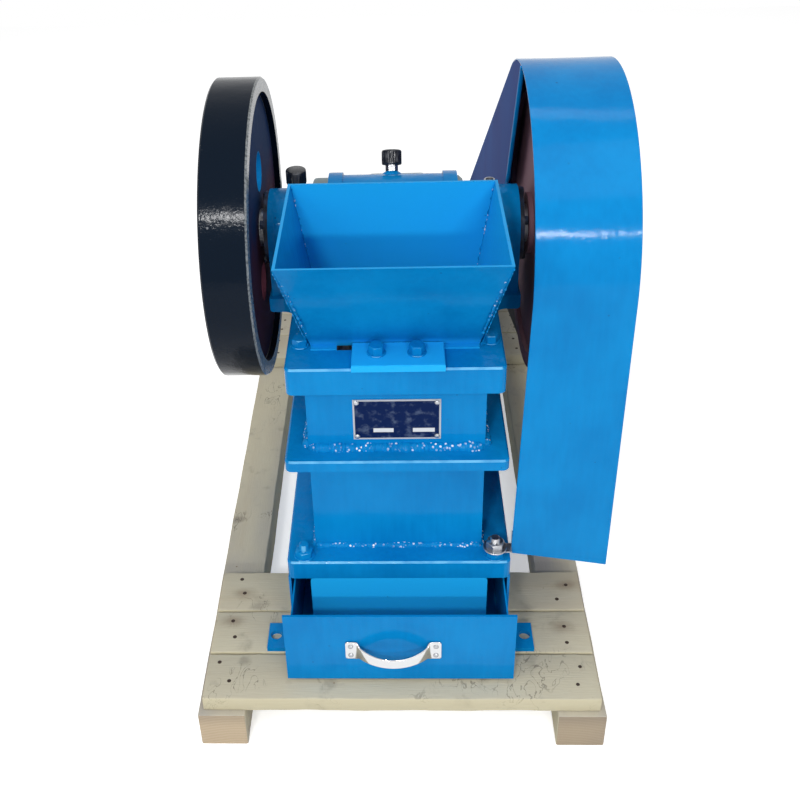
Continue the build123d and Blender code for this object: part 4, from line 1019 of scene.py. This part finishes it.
class CRUSHER_OT_handle(bpy.types.Operator):
    """Bends the bow handle and rivets its two feet to the drawer's front"""

    bl_idname = "crusher.handle"
    bl_label = "Fit the drawer's handle"

    def execute(self, context):
        scene = context.scene
        settings = scene.crusher_handle
        bottom, top = low("drawer_handle"), high("drawer_handle")
        face = top[1] - settings.strap / 2
        centre = (bottom + top) / 2
        foot = (top[2] - bottom[2]) / 2
        outline = self.outline(settings, centre[0], top[0] - centre[0], face, bottom[1])
        along = lengths(outline)
        middle = np.abs(along / along[-1] * 2 - 1)
        heel = settings.foot / along[-1] * 2
        half_bow = 0.007 + 0.003 * np.clip(middle / (1 - heel), 0, 1) ** 2
        blend = np.clip((middle - (1 - 1.5 * heel)) / (0.55 * heel), 0, 1)
        blend = blend * blend * (3 - 2 * blend)
        half = half_bow + (foot - half_bow) * blend
        half -= np.clip(1 - np.minimum(along, along[-1] - along) / 0.002, 0, 1) ** 2 * 0.002
        path = np.column_stack([outline, np.full(len(outline), centre[2])])
        out = np.cross(headings(path), (0, 0, 1))
        loops = rounded(settings.strap / 2, half, settings.strap * 0.45, 5)
        bow = skin(carried(path, out, (0, 0, 1), loops))
        piece("bow_handle", [bow], nickel, "drawer", ["drawer_handle"], 50)
        heads = []
        for sign in (-1, 1):
            x = centre[0] + sign * (top[0] - centre[0] - settings.foot * 0.48)
            for up in (-1, 1):
                spot = (x, face - settings.strap / 2, centre[2] + up * foot * 0.52)
                heads.append(dome(np.array(spot), (0, -1, 0), scene.crusher_bolts.screw, 0.0018))
        piece("handle_rivets", heads, steel, "drawer")
        return {"FINISHED"}

    def outline(self, settings, centre, reach, face, front):
        """The strap's middle line seen from above: a foot, a bend, the bow's arc and back again."""
        inner = reach - settings.foot
        depth = face - front - settings.strap / 2
        radius = (inner**2 + depth**2) / (2 * depth)
        bend = settings.bend
        behind = radius - depth + bend
        span = np.sqrt((radius + bend) ** 2 - behind**2)
        lean = np.arctan2(behind, span)
        foot = np.linspace(reach, span, 10, endpoint=False)
        bends = np.linspace(pi / 2, pi - lean, 14)
        bows = np.linspace(-lean, -pi / 2, 40)[1:]
        x = np.concatenate([foot, span + bend * np.cos(bends), radius * np.cos(bows)])
        bent, bowed = bend * (np.sin(bends) - 1), radius * (1 + np.sin(bows)) - depth
        y = face + np.concatenate([0 * foot, bent, bowed])
        half = np.column_stack([x, y])
        return np.vstack([half, half[-2::-1] * (-1, 1)]) + (centre, 0)


class CupSettings(bpy.types.PropertyGroup):
    """The oil cups."""

    neck: size("Neck", "Height of the nut under the cap", 0.008)
    flats: size("Flats", "Across the flats of the nut", 0.0128)
    lean: FloatProperty(
        name="Lean", description="Of the middle cup, behind upright", default=radians(30),
        subtype="ANGLE",
    )


class CRUSHER_OT_cups(bpy.types.Operator):
    """Turns the oil cups: a bright nut and a ribbed cap; the right one has only its bare neck"""

    bl_idname = "crusher.cups"
    bl_label = "Fit the oil cups"

    def execute(self, context):
        settings = context.scene.crusher_cups
        radius = (high("oil_cup_left")[0] - low("oil_cup_left")[0]) / 2
        cap = high("oil_cup_left")[2] - low("oil_cup_left")[2] - settings.neck
        middle = (low("oil_cup_centre") + high("oil_cup_centre"))[0] / 2
        way = np.array([0, np.sin(settings.lean), np.cos(settings.lean)])
        barrel = high("swing_jaw")[2] - AXLE_Z
        foot = np.array([middle, AXLE_Y, AXLE_Z]) + barrel * way
        cups = (("left", "frame", self.foot("left"), np.eye(3)[2]), ("centre", "jaw", foot, way))
        for place, body, foot, axis in cups:
            nut = skin(turned(foot, axis, *hexagon(settings.flats, settings.neck + 0.0005)))
            piece(f"cup_neck_{place}", [nut], steel, body)
            shape = self.cap(foot + settings.neck * axis, axis, radius, cap)
            node = f"oil_cup_{place}"
            piece(f"cup_cap_{place}", [shape], cap_plastic, body, [node])
        radii = [0, 0.0061, 0.0066, 0.0066, 0.006, 0.0046, 0.0042, 0]
        heights = settings.neck * np.array([0, 0, 0.1, 0.85, 1, 1, 0.5, 0.5])
        ring = skin(turned(self.foot("right"), (0, 0, 1), radii, heights, 32))
        piece("cup_neck_right", [ring], steel, "frame", ["oil_cup_right"])
        return {"FINISHED"}

    def foot(self, place):
        bottom, top = low(f"oil_cup_{place}"), high(f"oil_cup_{place}")
        return np.array([*((bottom + top) / 2)[:2], bottom[2]])

    def cap(self, foot, axis, radius, height):
        """Cap with 24 shallow ribs: radius(height, turn) = swell(height) less ribs(turn)."""
        ribs = 1 + np.cos(np.arange(144) * 2 * pi / 144 * 24)
        rows = np.array([0, 0.03, 0.08, 0.14, 0.3, 0.5, 0.72, 0.8, 0.86, 0.93, 0.975, 1, 1])
        swell = np.array([0.92, 0.98, 1, 1, 1, 1, 1, 1, 1, 0.985, 0.94, 0.86, 0])
        deep = np.array([0, 0, 0, 0.5, 1, 1, 1, 0.5, 0, 0, 0, 0, 0])
        radii = radius * swell[:, None] - 0.0003 * deep[:, None] * ribs
        radii = np.vstack([0 * radii[:1], radii])
        return skin(turned(foot, axis, radii, height * np.concatenate([[0], rows]), 144))


class PlateSettings(bpy.types.PropertyGroup):
    """The nameplate."""

    rim: size("Rim", "Width of the plate's raised rim", 0.0017)
    bulge: size("Rise", "Height of the rim over the field", 0.0003)


class CRUSHER_OT_nameplate(bpy.types.Operator):
    """Presses the bare nameplate with its raised rim and screws it on"""

    bl_idname = "crusher.nameplate"
    bl_label = "Screw on the nameplate"

    def execute(self, context):
        scene = context.scene
        settings = scene.crusher_plate
        bottom, top = low("nameplate"), high("nameplate")
        inner = np.linspace(0.022, 0.978, 34)
        shares = np.concatenate([[0, 0.004, 0.012], inner, [0.988, 0.996, 1]])
        rows = bottom + shares[:, None] * (top - bottom)
        across, up = np.meshgrid(rows[:, 0], rows[:, 2])
        gaps = across - bottom[0], top[0] - across, up - bottom[2], top[2] - up
        edge = np.minimum.reduce(gaps)
        raised = np.clip(1.5 - np.abs(edge - settings.rim / 2) / settings.rim * 2, 0, 1)
        raised *= settings.bulge
        front = np.stack([across, bottom[1] + settings.bulge - raised, up], axis=-1)
        back = np.stack([across, np.full_like(across, top[1]), up], axis=-1)[:, ::-1]
        sheet = skin(np.concatenate([front, back], axis=1))
        piece("blank_nameplate", [sheet], plate_print, "frame", ["nameplate"], 40)
        heads = []
        for x in (bottom[0] + 0.0042, top[0] - 0.0042):
            for z in (bottom[2] + 0.0042, top[2] - 0.0042):
                spot = np.array([x, bottom[1] + 0.0002, z])
                heads.append(dome(spot, (0, -1, 0), scene.crusher_bolts.screw, 0.0019))
        piece("nameplate_screws", heads, steel, "frame")
        return {"FINISHED"}


class JawSettings(bpy.types.PropertyGroup):
    """Teeth of the two jaw plates."""

    pitch: size("Pitch", "Distance from tooth to tooth", 0.0125)
    depth: size("Depth", "Depth of the teeth", 0.0042)


class CRUSHER_OT_jaws(bpy.types.Operator):
    """Casts the two jaw plates with upright teeth"""

    bl_idname = "crusher.jaws"
    bl_label = "Cast the jaw plates"

    def execute(self, context):
        settings = context.scene.crusher_jaws
        fixed = low("fixed_jaw_plate"), high("fixed_jaw_plate")
        thick = fixed[1][1] - fixed[0][1]
        swing = corners("swing_jaw_plate")
        swing = swing[np.argsort(swing[:, 2])]
        foot = swing[swing[:, 2] > swing[0, 2] + thick / 10][0]
        faces = (
            ("fixed_jaw_plate", "frame", fixed[1][1:], (fixed[1][1], fixed[0][2]), 1, 0.0),
            ("swing_jaw_plate", "jaw", swing[-1, 1:], foot[1:], -1, 0.5),
        )
        for node, body, upper, lower, side, phase in faces:
            reach = np.array(lower) - upper
            out = side * np.array([-reach[1], reach[0]]) / np.linalg.norm(reach)
            across = np.linspace(low(node)[0], high(node)[0], 181)
            turn = 2 * pi * (across / settings.pitch + phase)
            tooth = settings.depth * (0.5 + 0.5 * np.cos(turn))
            along = np.array([0, 0.008, 0.03, 0.5, 0.97, 0.992, 1])[:, None, None]
            worn = np.array([0.004, 0.0012, 0, 0.0005, 0, 0.0012, 0.004])[:, None, None]
            line = upper + along * reach
            front = line - out * (tooth[:, None] + worn)
            back = line - out * thick + 0 * front
            rows = np.concatenate([front, back[:, ::-1]], axis=1)
            spread = np.concatenate([across, across[::-1]])
            spread = np.broadcast_to(spread[:, None], (*rows.shape[:2], 1))
            shape = skin(np.concatenate([spread, rows], axis=2))
            piece(f"toothed_{node}", [shape], jaw_iron, body, [node], 50)
        return {"FINISHED"}


class MotorSettings(bpy.types.PropertyGroup):
    """The motor behind the frame."""

    radius: size("Radius", "Of the stator over its fins", 0.07)
    face: size("Face", "From the middle of the machine to the end shield's face", 0.128)
    fins: IntProperty(name="Fins", description="Cooling fins round the stator", default=30)
    fin_depth: size("Fin depth", "Depth of the gaps between the fins", 0.0085)
    shield: size("Shield", "Length of the end shield at the shaft's end", 0.022)
    cowl: size("Cowl", "Length of the fan's cowl", 0.052)
    box_width: size("Box width", "Of the terminal box, along the shaft", 0.115)
    box_depth: size("Box depth", "Of the terminal box, across the shaft", 0.07)
    crown: size("Crown", "Rise of the terminal box's lid", 0.01)
    lid: size("Lid", "Thickness of the terminal box's lid", 0.009)


class CRUSHER_OT_motor(bpy.types.Operator):
    """Casts the finned motor with its end shields, fan cowl, terminal box and feet"""

    bl_idname = "crusher.motor"
    bl_label = "Build the motor"

    def execute(self, context):
        settings = context.scene.crusher_motor
        bottom, top = low("motor"), high("motor")
        centre = (low("motor_pulley") + high("motor_pulley")) / 2 * (0, 1, 1)
        shield_radius = settings.radius + 0.004
        back, face = bottom[0], settings.face
        along = (1, 0, 0)

        turn = np.arange(settings.fins * 12) * 2 * pi / (settings.fins * 12)
        ridge = np.clip(0.5 + 1.6 * np.cos(turn * settings.fins), 0, 1)
        fins = settings.radius - settings.fin_depth * (1 - ridge)
        start, end = back + settings.cowl - 0.01, face - settings.shield + 0.002
        radii = np.vstack([0 * fins, fins, fins, 0 * fins])
        stator = skin(turned(centre, along, radii, [start, start, end, end], len(turn)))

        cowl_radii = shield_radius * np.interp(np.linspace(0, 0.86, 60), [0, 0.86], [0, 0.93])
        grille = 0.0016 * (np.cos(np.linspace(0, 22 * pi, 60)) > 0.2)
        radii = np.concatenate([cowl_radii, shield_radius * np.array([0.96, 0.99, 1, 1, 0.97, 0])])
        heights = np.concatenate([grille, [0.0015, 0.004, 0.009], [settings.cowl] * 3])
        cowl = skin(turned(centre + (back, 0, 0), along, radii, heights, 72))

        radii = [0, shield_radius - 0.001, shield_radius, shield_radius, shield_radius - 0.006]
        radii += [0.05, 0.043, 0.04, 0.038, 0.0135, 0.0135, 0]
        rises = [-0.007, -0.0005, -0.003, -0.003, 0.0045, 0.006, 0.006, 0.0045, 0.0045]
        heights = np.concatenate([[0, 0, 0.002], settings.shield + np.array(rises)])
        shield = skin(turned(centre + (face - settings.shield, 0, 0), along, radii, heights, 72))
        parts = [stator, cowl, shield]
        for number in range(4):
            angle = pi / 4 + number * pi / 2
            spot = centre + (face - 0.0009, 0.058 * np.cos(angle), 0.058 * np.sin(angle))
            parts += bolt(spot, along, 0.010, 0.004, 0.0006, 1.0)
        parts += self.feet(centre, bottom, face, back)
        piece("finned_motor", parts, motor_paint, "frame", ["motor"], 32)
        self.terminal_box(settings, centre, top)

        shaft = [0, 0.0105, 0.012, 0.012, 0.0108, 0]
        reach = top[0] - face
        spots_along = [0, 0, 0.001, reach - 0.0012, reach, reach]
        rod = skin(turned(centre + (face, 0, 0), along, shaft, spots_along, 36))
        piece("motor_shaft", [rod], steel, "frame")
        return {"FINISHED"}

    def feet(self, centre, bottom, face, back):
        """Two rails with sloping webs up to the stator, along the shaft, and their bolts."""
        outline = np.array(
            [
                (0.085, 0), (0.085, 0.011), (0.059, 0.0135), (0.056, 0.05),
                (0.05, 0.062), (0.04, 0.05), (0.047, 0.012), (0.047, 0),
            ]
        )
        parts = []
        middle = np.array([(face + back) / 2, centre[1], bottom[2]])
        path = middle + np.array([-0.075, -0.0735, 0.0735, 0.075])[:, None] * (1, 0, 0)
        shrink = np.array([0.985, 1, 1, 0.985])[:, None, None]
        for side in (-1, 1):
            loops = outline * (side, 1) * shrink
            parts.append(skin(carried(path, (0, 1, 0), (0, 0, 1), loops)))
            for x in (-0.055, 0.055):
                spot = middle + (x, side * 0.072, 0.0115)
                parts += bolt(spot, (0, 0, 1), 0.015, 0.0065, stem=0.005, twist=x * 9)
        return parts

    def terminal_box(self, settings, centre, top):
        """A box with round corners under a crowned lid that stands a little proud, with four
        screws."""
        half_x, half_y, x = settings.box_width / 2, settings.box_depth / 2, 0.004
        crown = settings.crown
        rim = top[2] - crown
        under = rim - settings.lid - 0.001
        levels = np.array([centre[2] + 0.05, under, under])
        inset = np.array([0.006, 0.003, 0.02])
        loops = rounded(half_x - inset, half_y - inset, np.full(3, 0.008), 6)
        path = np.array([x, centre[1], 0]) + levels[:, None] * (0, 0, 1)
        box = skin(carried(path, *np.eye(3)[:2], loops))
        piece("terminal_box", [box], motor_paint, "frame")
        inset = np.array([0.0012, 0, 0, 0.0008, 0.0028, 0.012, 0.024, 0.0345])
        level = np.array([-settings.lid, -settings.lid + 0.001, -0.0025, -0.0008, 0, 0, 0, 0])
        loops = rounded(half_x - inset, half_y - inset, np.maximum(0.010 - inset, 0.0004), 8)
        path = np.array([x, centre[1], rim]) + level[:, None] * (0, 0, 1)
        points = carried(path, *np.eye(3)[:2], loops)
        bulge = crown * np.clip(1 - ((points[..., 0] - x) / half_x) ** 2, 0, 1)
        points[..., 2] += bulge * np.clip((level + 0.0025) / 0.0025, 0, 1)[:, None]
        lid = [skin(points)]
        for right in (-1, 1):
            for behind in (-1, 1):
                aside = right * (half_x - 0.01)
                z = rim + crown * (1 - (aside / half_x) ** 2) - 0.0004
                spot = np.array([x + aside, centre[1] + behind * (half_y - 0.01), z])
                lid.append(dome(spot, (0, 0, 1), 0.0035, 0.0011))
        piece("terminal_lid", lid, motor_paint, "frame", (), 28)


class GuardSettings(bpy.types.PropertyGroup):
    """The belt guard's sheet and lips."""

    dent: size("Dent", "How far the sheet's front wavers", 0.0006)
    lip: size("Lip", "Radius of the bead on the inner plate's edge", 0.0026)
    slant: size("Slant", "Rise of the front sheet's lower edge from outside to inside", 0.02)
    flare: size("Flare", "How far the front sheet's inner edge leans out at its foot", 0.008)
    width: size("Width", "Of the rolled sheet", 0.106)


class CRUSHER_OT_guard(bpy.types.Operator):
    """Rolls the guard's band as one sheet and beads the inner plate's open edge"""

    bl_idname = "crusher.guard"
    bl_label = "Roll the belt guard"

    def execute(self, context):
        settings = context.scene.crusher_guard
        bottom, top = low("guard_band"), high("guard_band")
        vertices = corners("guard_band")
        bottom[2] = vertices[vertices[:, 1] < bottom[1] + 0.001, 2].min()
        radius = AXLE_Y - bottom[1]
        motor = (low("motor_pulley") + high("motor_pulley")) / 2
        rear = top[1] - motor[1]
        big, small = (AXLE_Y, AXLE_Z), (motor[1], motor[2])
        apart = hypot(small[0] - big[0], small[1] - big[1])
        line = np.arctan2(small[1] - big[1], small[0] - big[0])
        tangent = np.degrees(line + np.arccos((radius - rear) / apart))
        corner = np.array([bottom[1], bottom[2]])
        reach = hypot(*(corner - small))
        last = np.arctan2(corner[1] - small[1], corner[0] - small[0]) + np.arccos(rear / reach)
        last = np.degrees(last) - 360

        front = np.stack([np.full(24, bottom[1]), np.linspace(bottom[2], AXLE_Z, 24)], axis=1)
        over = arc(big, radius, 180, tangent, 70)
        behind = arc(small, rear, tangent, last, 50)
        down = over[-1] + np.linspace(0, 1, 30)[1:-1, None] * (behind[0] - over[-1])
        line = np.vstack([front, over[1:], down, behind])
        way = headings(line)
        out = np.stack([-way[:, 1], way[:, 0]], axis=1)
        thick, edge, width = 0.002, 0.0006, 0.106
        inside = np.linspace(0.006, 0.1, 12)
        across = np.concatenate([[0, edge], inside, [width - edge, width]]) / width
        round_edge = np.array([edge, *[0] * 14, edge])
        sag = (1 + waver(lengths(line)[:, None] + 0.2 * across, 0.61, 0.37, 0.23)) / 2
        sag = settings.dent * sag * np.sin(pi * across) ** 0.5
        outer = line[:, None] - out[:, None] * (round_edge + sag)[..., None]
        inner = line[:, None] - out[:, None] * (thick - round_edge)[..., None]
        rows = np.concatenate([outer, inner[:, ::-1]], axis=1)
        down = np.clip((AXLE_Z - line[:, 1]) / (AXLE_Z - bottom[2]), 0, 1) * (line[:, 0] < AXLE_Y)
        inwards = 1 - np.concatenate([across, across[::-1]])
        spread = top[0] - (settings.width + settings.flare * down[:, None]) * inwards
        rows[..., 1] += settings.slant * down[:, None] * inwards
        points = np.concatenate([spread[..., None], rows], axis=2)
        shape = skin(points)
        piece("guard_sheet", [shape], sheet_enamel, "frame", ["guard_band"], 40)
        self.edge_bead(settings.lip)
        return {"FINISHED"}

    def edge_bead(self, radius):
        """A round bead along the inner plate's open edge: down from the top, round the hook and
        back to the rear."""
        plate = corners("guard_inner_plate")
        hook = at(0, 0.306, 0.488)[1:]  # the corner where the edge turns back under the barrel
        start = plate[np.argmin(plate[:, 1])][1:]
        rear = plate[np.argmin(plate[:, 2])][1:]
        bend = 0.02
        before = hook + bend * (start - hook) / np.linalg.norm(start - hook)
        after = hook + bend * (rear - hook) / np.linalg.norm(rear - hook)
        t = np.linspace(0, 1, 12)[:, None]
        corner = (1 - t) ** 2 * before + 2 * t * (1 - t) * hook + t**2 * after
        run = start + np.linspace(0, 1, 40)[:-1, None] * (corner[0] - start)
        tail = corner[-1] + np.linspace(0, 1, 40)[1:, None] * (rear - corner[-1])
        line = np.vstack([run, corner, tail])
        way = headings(line)
        x = (low("guard_inner_plate")[0] + high("guard_inner_plate")[0]) / 2
        path = np.column_stack([np.full(len(line), x), line])
        out = np.column_stack([np.zeros(len(line)), -way[:, 1], way[:, 0]])
        turn = np.arange(10) * 2 * pi / 10
        loop = radius * np.stack([np.cos(turn), np.sin(turn)], axis=1)
        shape = skin(carried(path, (1, 0, 0), out, np.broadcast_to(loop, (len(line), 10, 2))))
        piece("guard_plate_bead", [shape], sheet_enamel, "frame")


# Lamps: place, target, width and height, share of the key light's power. The key light isn't seen
# in mirrors; the window and the strip stand where the guard and the flywheel mirror them.
LAMPS = {
    "key": ((-1.7, -2.2, 2.7), (0, -0.2, 0.4), (2.2, 2.2), 1),
    "window": ((0.56, -3.24, 1.62), (0.1, -0.4, 0.6), (0.55, 0.12), 0.85),
    "strip": ((-0.64, -3.0, 2.47), (-0.2, -0.3, 0.5), (0.36, 0.22), 1.1),
    "ceiling": ((0.6, 0.4, 3.4), (0.1, -0.2, 0.5), (2.2, 0.35), 0.4),
    "panel": ((0.7, -1.6, 3.0), (0.1, -0.2, 0.5), (1.6, 1.8), 0.45),
}


class StudioSettings(bpy.types.PropertyGroup):
    """Camera, lights and floor. The camera's place and directions were fitted to the photograph."""

    focal: FloatProperty(
        name="Focal length", description="Of a 36 mm sensor", default=47.269, unit="CAMERA"
    )
    place: FloatVectorProperty(
        name="Camera", description="Place of the camera", default=(0.00587, -1.35928, 1.1326),
        subtype="TRANSLATION", unit="LENGTH", precision=5,
    )
    across: FloatVectorProperty(
        name="Right", description="Direction to the picture's right",
        default=(0.998883, 0.030654, -0.035945), subtype="DIRECTION", precision=6,
    )
    upwards: FloatVectorProperty(
        name="Up", description="Direction to the picture's top",
        default=(0.014607, 0.52318, 0.852097), subtype="DIRECTION", precision=6,
    )
    shift: FloatVectorProperty(
        name="Shift", description="Of the picture, in shares of its width",
        size=2, default=(0.0596, -0.1223), precision=4,
    )
    key: FloatProperty(
        name="Key light", description="Power of the key light", default=30, unit="POWER"
    )
    world: share("World", "Strength of the light from all round", 0.4)
    glow: share("Glow", "White added to the floor as the camera and mirrors see it", 0.44)
    floor: colour("Floor", "Pale floor", 236, 236, 236)


class CRUSHER_OT_studio(bpy.types.Operator):
    """Sets up the pale floor, the soft lights and the camera of the photograph"""

    bl_idname = "crusher.studio"
    bl_label = "Set up the studio"

    def execute(self, context):
        scene = context.scene
        settings = scene.crusher_studio
        scene.view_settings.view_transform = "Standard"
        self.camera(scene, settings)
        self.floor(scene, settings)
        self.world(scene, settings)
        for name, (place, target, spread, power) in LAMPS.items():
            lamp = self.lamp(name, place, target, spread, settings.key * power)
            lamp.visible_glossy = name != "key"
        return {"FINISHED"}

    def camera(self, scene, settings):
        lens = bpy.data.cameras.new("photograph")
        lens.lens = settings.focal
        lens.shift_x, lens.shift_y = settings.shift
        viewer = bpy.data.objects.new("photograph", lens)
        across, upwards = np.array(settings.across), np.array(settings.upwards)
        turn = np.eye(4)
        turn[:3, :4] = np.column_stack([across, upwards, np.cross(across, upwards), settings.place])
        viewer.matrix_world = Matrix(turn.tolist())
        scene.collection.objects.link(viewer)
        scene.camera = viewer

    def floor(self, scene, settings):
        """A flat grid of 5 m; to the camera and to mirrors its lit part is white."""
        span = np.linspace(-2.5, 2.5, 6)
        across, along = np.meshgrid(span, span)
        grid = np.stack([across, along, 0 * across], axis=-1)
        points, faces = skin(grid, around=False, ends=False)
        mesh = bpy.data.meshes.new("floor")
        mesh.from_pydata(points, [], np.vstack(faces).tolist())
        pale = Finish("floor")
        seen = pale.seen()
        lit = pale.mix(seen, settings.floor, (1, 1, 1))
        glow = pale.mix(seen, (0, 0, 0), (settings.glow,) * 3)
        more = {"Specular_IOR_Level": 0.0, "Emission_Color": glow, "Emission_Strength": 1.0}
        mesh.materials.append(pale.done(lit, 0.9, **more))
        ground = bpy.data.objects.new("floor", mesh)
        scene.collection.objects.link(ground)

    def world(self, scene, settings):
        world = scene.world = bpy.data.worlds.new("studio")
        air = Nodes(world)
        strength = air.seen() * (1 - settings.world) + settings.world
        sky = air.node("ShaderNodeBackground", {}, {"Color": (1, 1, 1), "Strength": strength})
        air.node("ShaderNodeOutputWorld", {}, {"Surface": sky})

    def lamp(self, name, place, target, spread, power):
        light = bpy.data.lights.new(name, "AREA")
        light.shape = "RECTANGLE"
        light.size, light.size_y = spread
        light.energy = power
        lamp = bpy.data.objects.new(name, light)
        turn = (Vector(target) - Vector(place)).to_track_quat("-Z", "Y")
        lamp.matrix_world = Matrix.Translation(place) @ turn.to_matrix().to_4x4()
        bpy.context.scene.collection.objects.link(lamp)
        return lamp


SETTINGS = {
    "paint": PaintSettings,
    "wood": WoodSettings,
    "metal": MetalSettings,
    "boards": BoardSettings,
    "bolts": BoltSettings,
    "welds": WeldSettings,
    "handle": HandleSettings,
    "cups": CupSettings,
    "plate": PlateSettings,
    "jaws": JawSettings,
    "motor": MotorSettings,
    "guard": GuardSettings,
    "studio": StudioSettings,
}

OPERATORS = (
    CRUSHER_OT_studio,
    CRUSHER_OT_paint,
    CRUSHER_OT_boards,
    CRUSHER_OT_nails,
    CRUSHER_OT_bolts,
    CRUSHER_OT_welds,
    CRUSHER_OT_handle,
    CRUSHER_OT_cups,
    CRUSHER_OT_nameplate,
    CRUSHER_OT_jaws,
    CRUSHER_OT_motor,
    CRUSHER_OT_guard,
)


class CRUSHER_PT_sidebar(bpy.types.Panel):
    """Lists the crusher's operators and their sizes and colours"""

    bl_idname = "CRUSHER_PT_sidebar"
    bl_label = "Laboratory jaw crusher"
    bl_space_type = "VIEW_3D"
    bl_region_type = "UI"
    bl_category = "Crusher"

    def draw(self, context):
        for operator in OPERATORS:
            self.layout.operator(operator.bl_idname)
        for name, settings in SETTINGS.items():
            group = getattr(context.scene, f"crusher_{name}")
            box = self.layout.box()
            box.label(text=settings.__doc__)
            for field in settings.__annotations__:
                box.prop(group, field)


def register():
    for kind in (*SETTINGS.values(), *OPERATORS, CRUSHER_PT_sidebar):
        bpy.utils.register_class(kind)
    for name, settings in SETTINGS.items():
        setattr(bpy.types.Scene, f"crusher_{name}", PointerProperty(type=settings))


def unregister():
    for name in SETTINGS:
        delattr(bpy.types.Scene, f"crusher_{name}")
    for kind in (CRUSHER_PT_sidebar, *OPERATORS, *SETTINGS.values()):
        bpy.utils.unregister_class(kind)


def main():
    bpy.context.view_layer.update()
    register()
    for operator in OPERATORS:
        step = operator.bl_idname.split(".")[1]
        getattr(bpy.ops.crusher, step)()


if __name__ == "__main__":
    main()
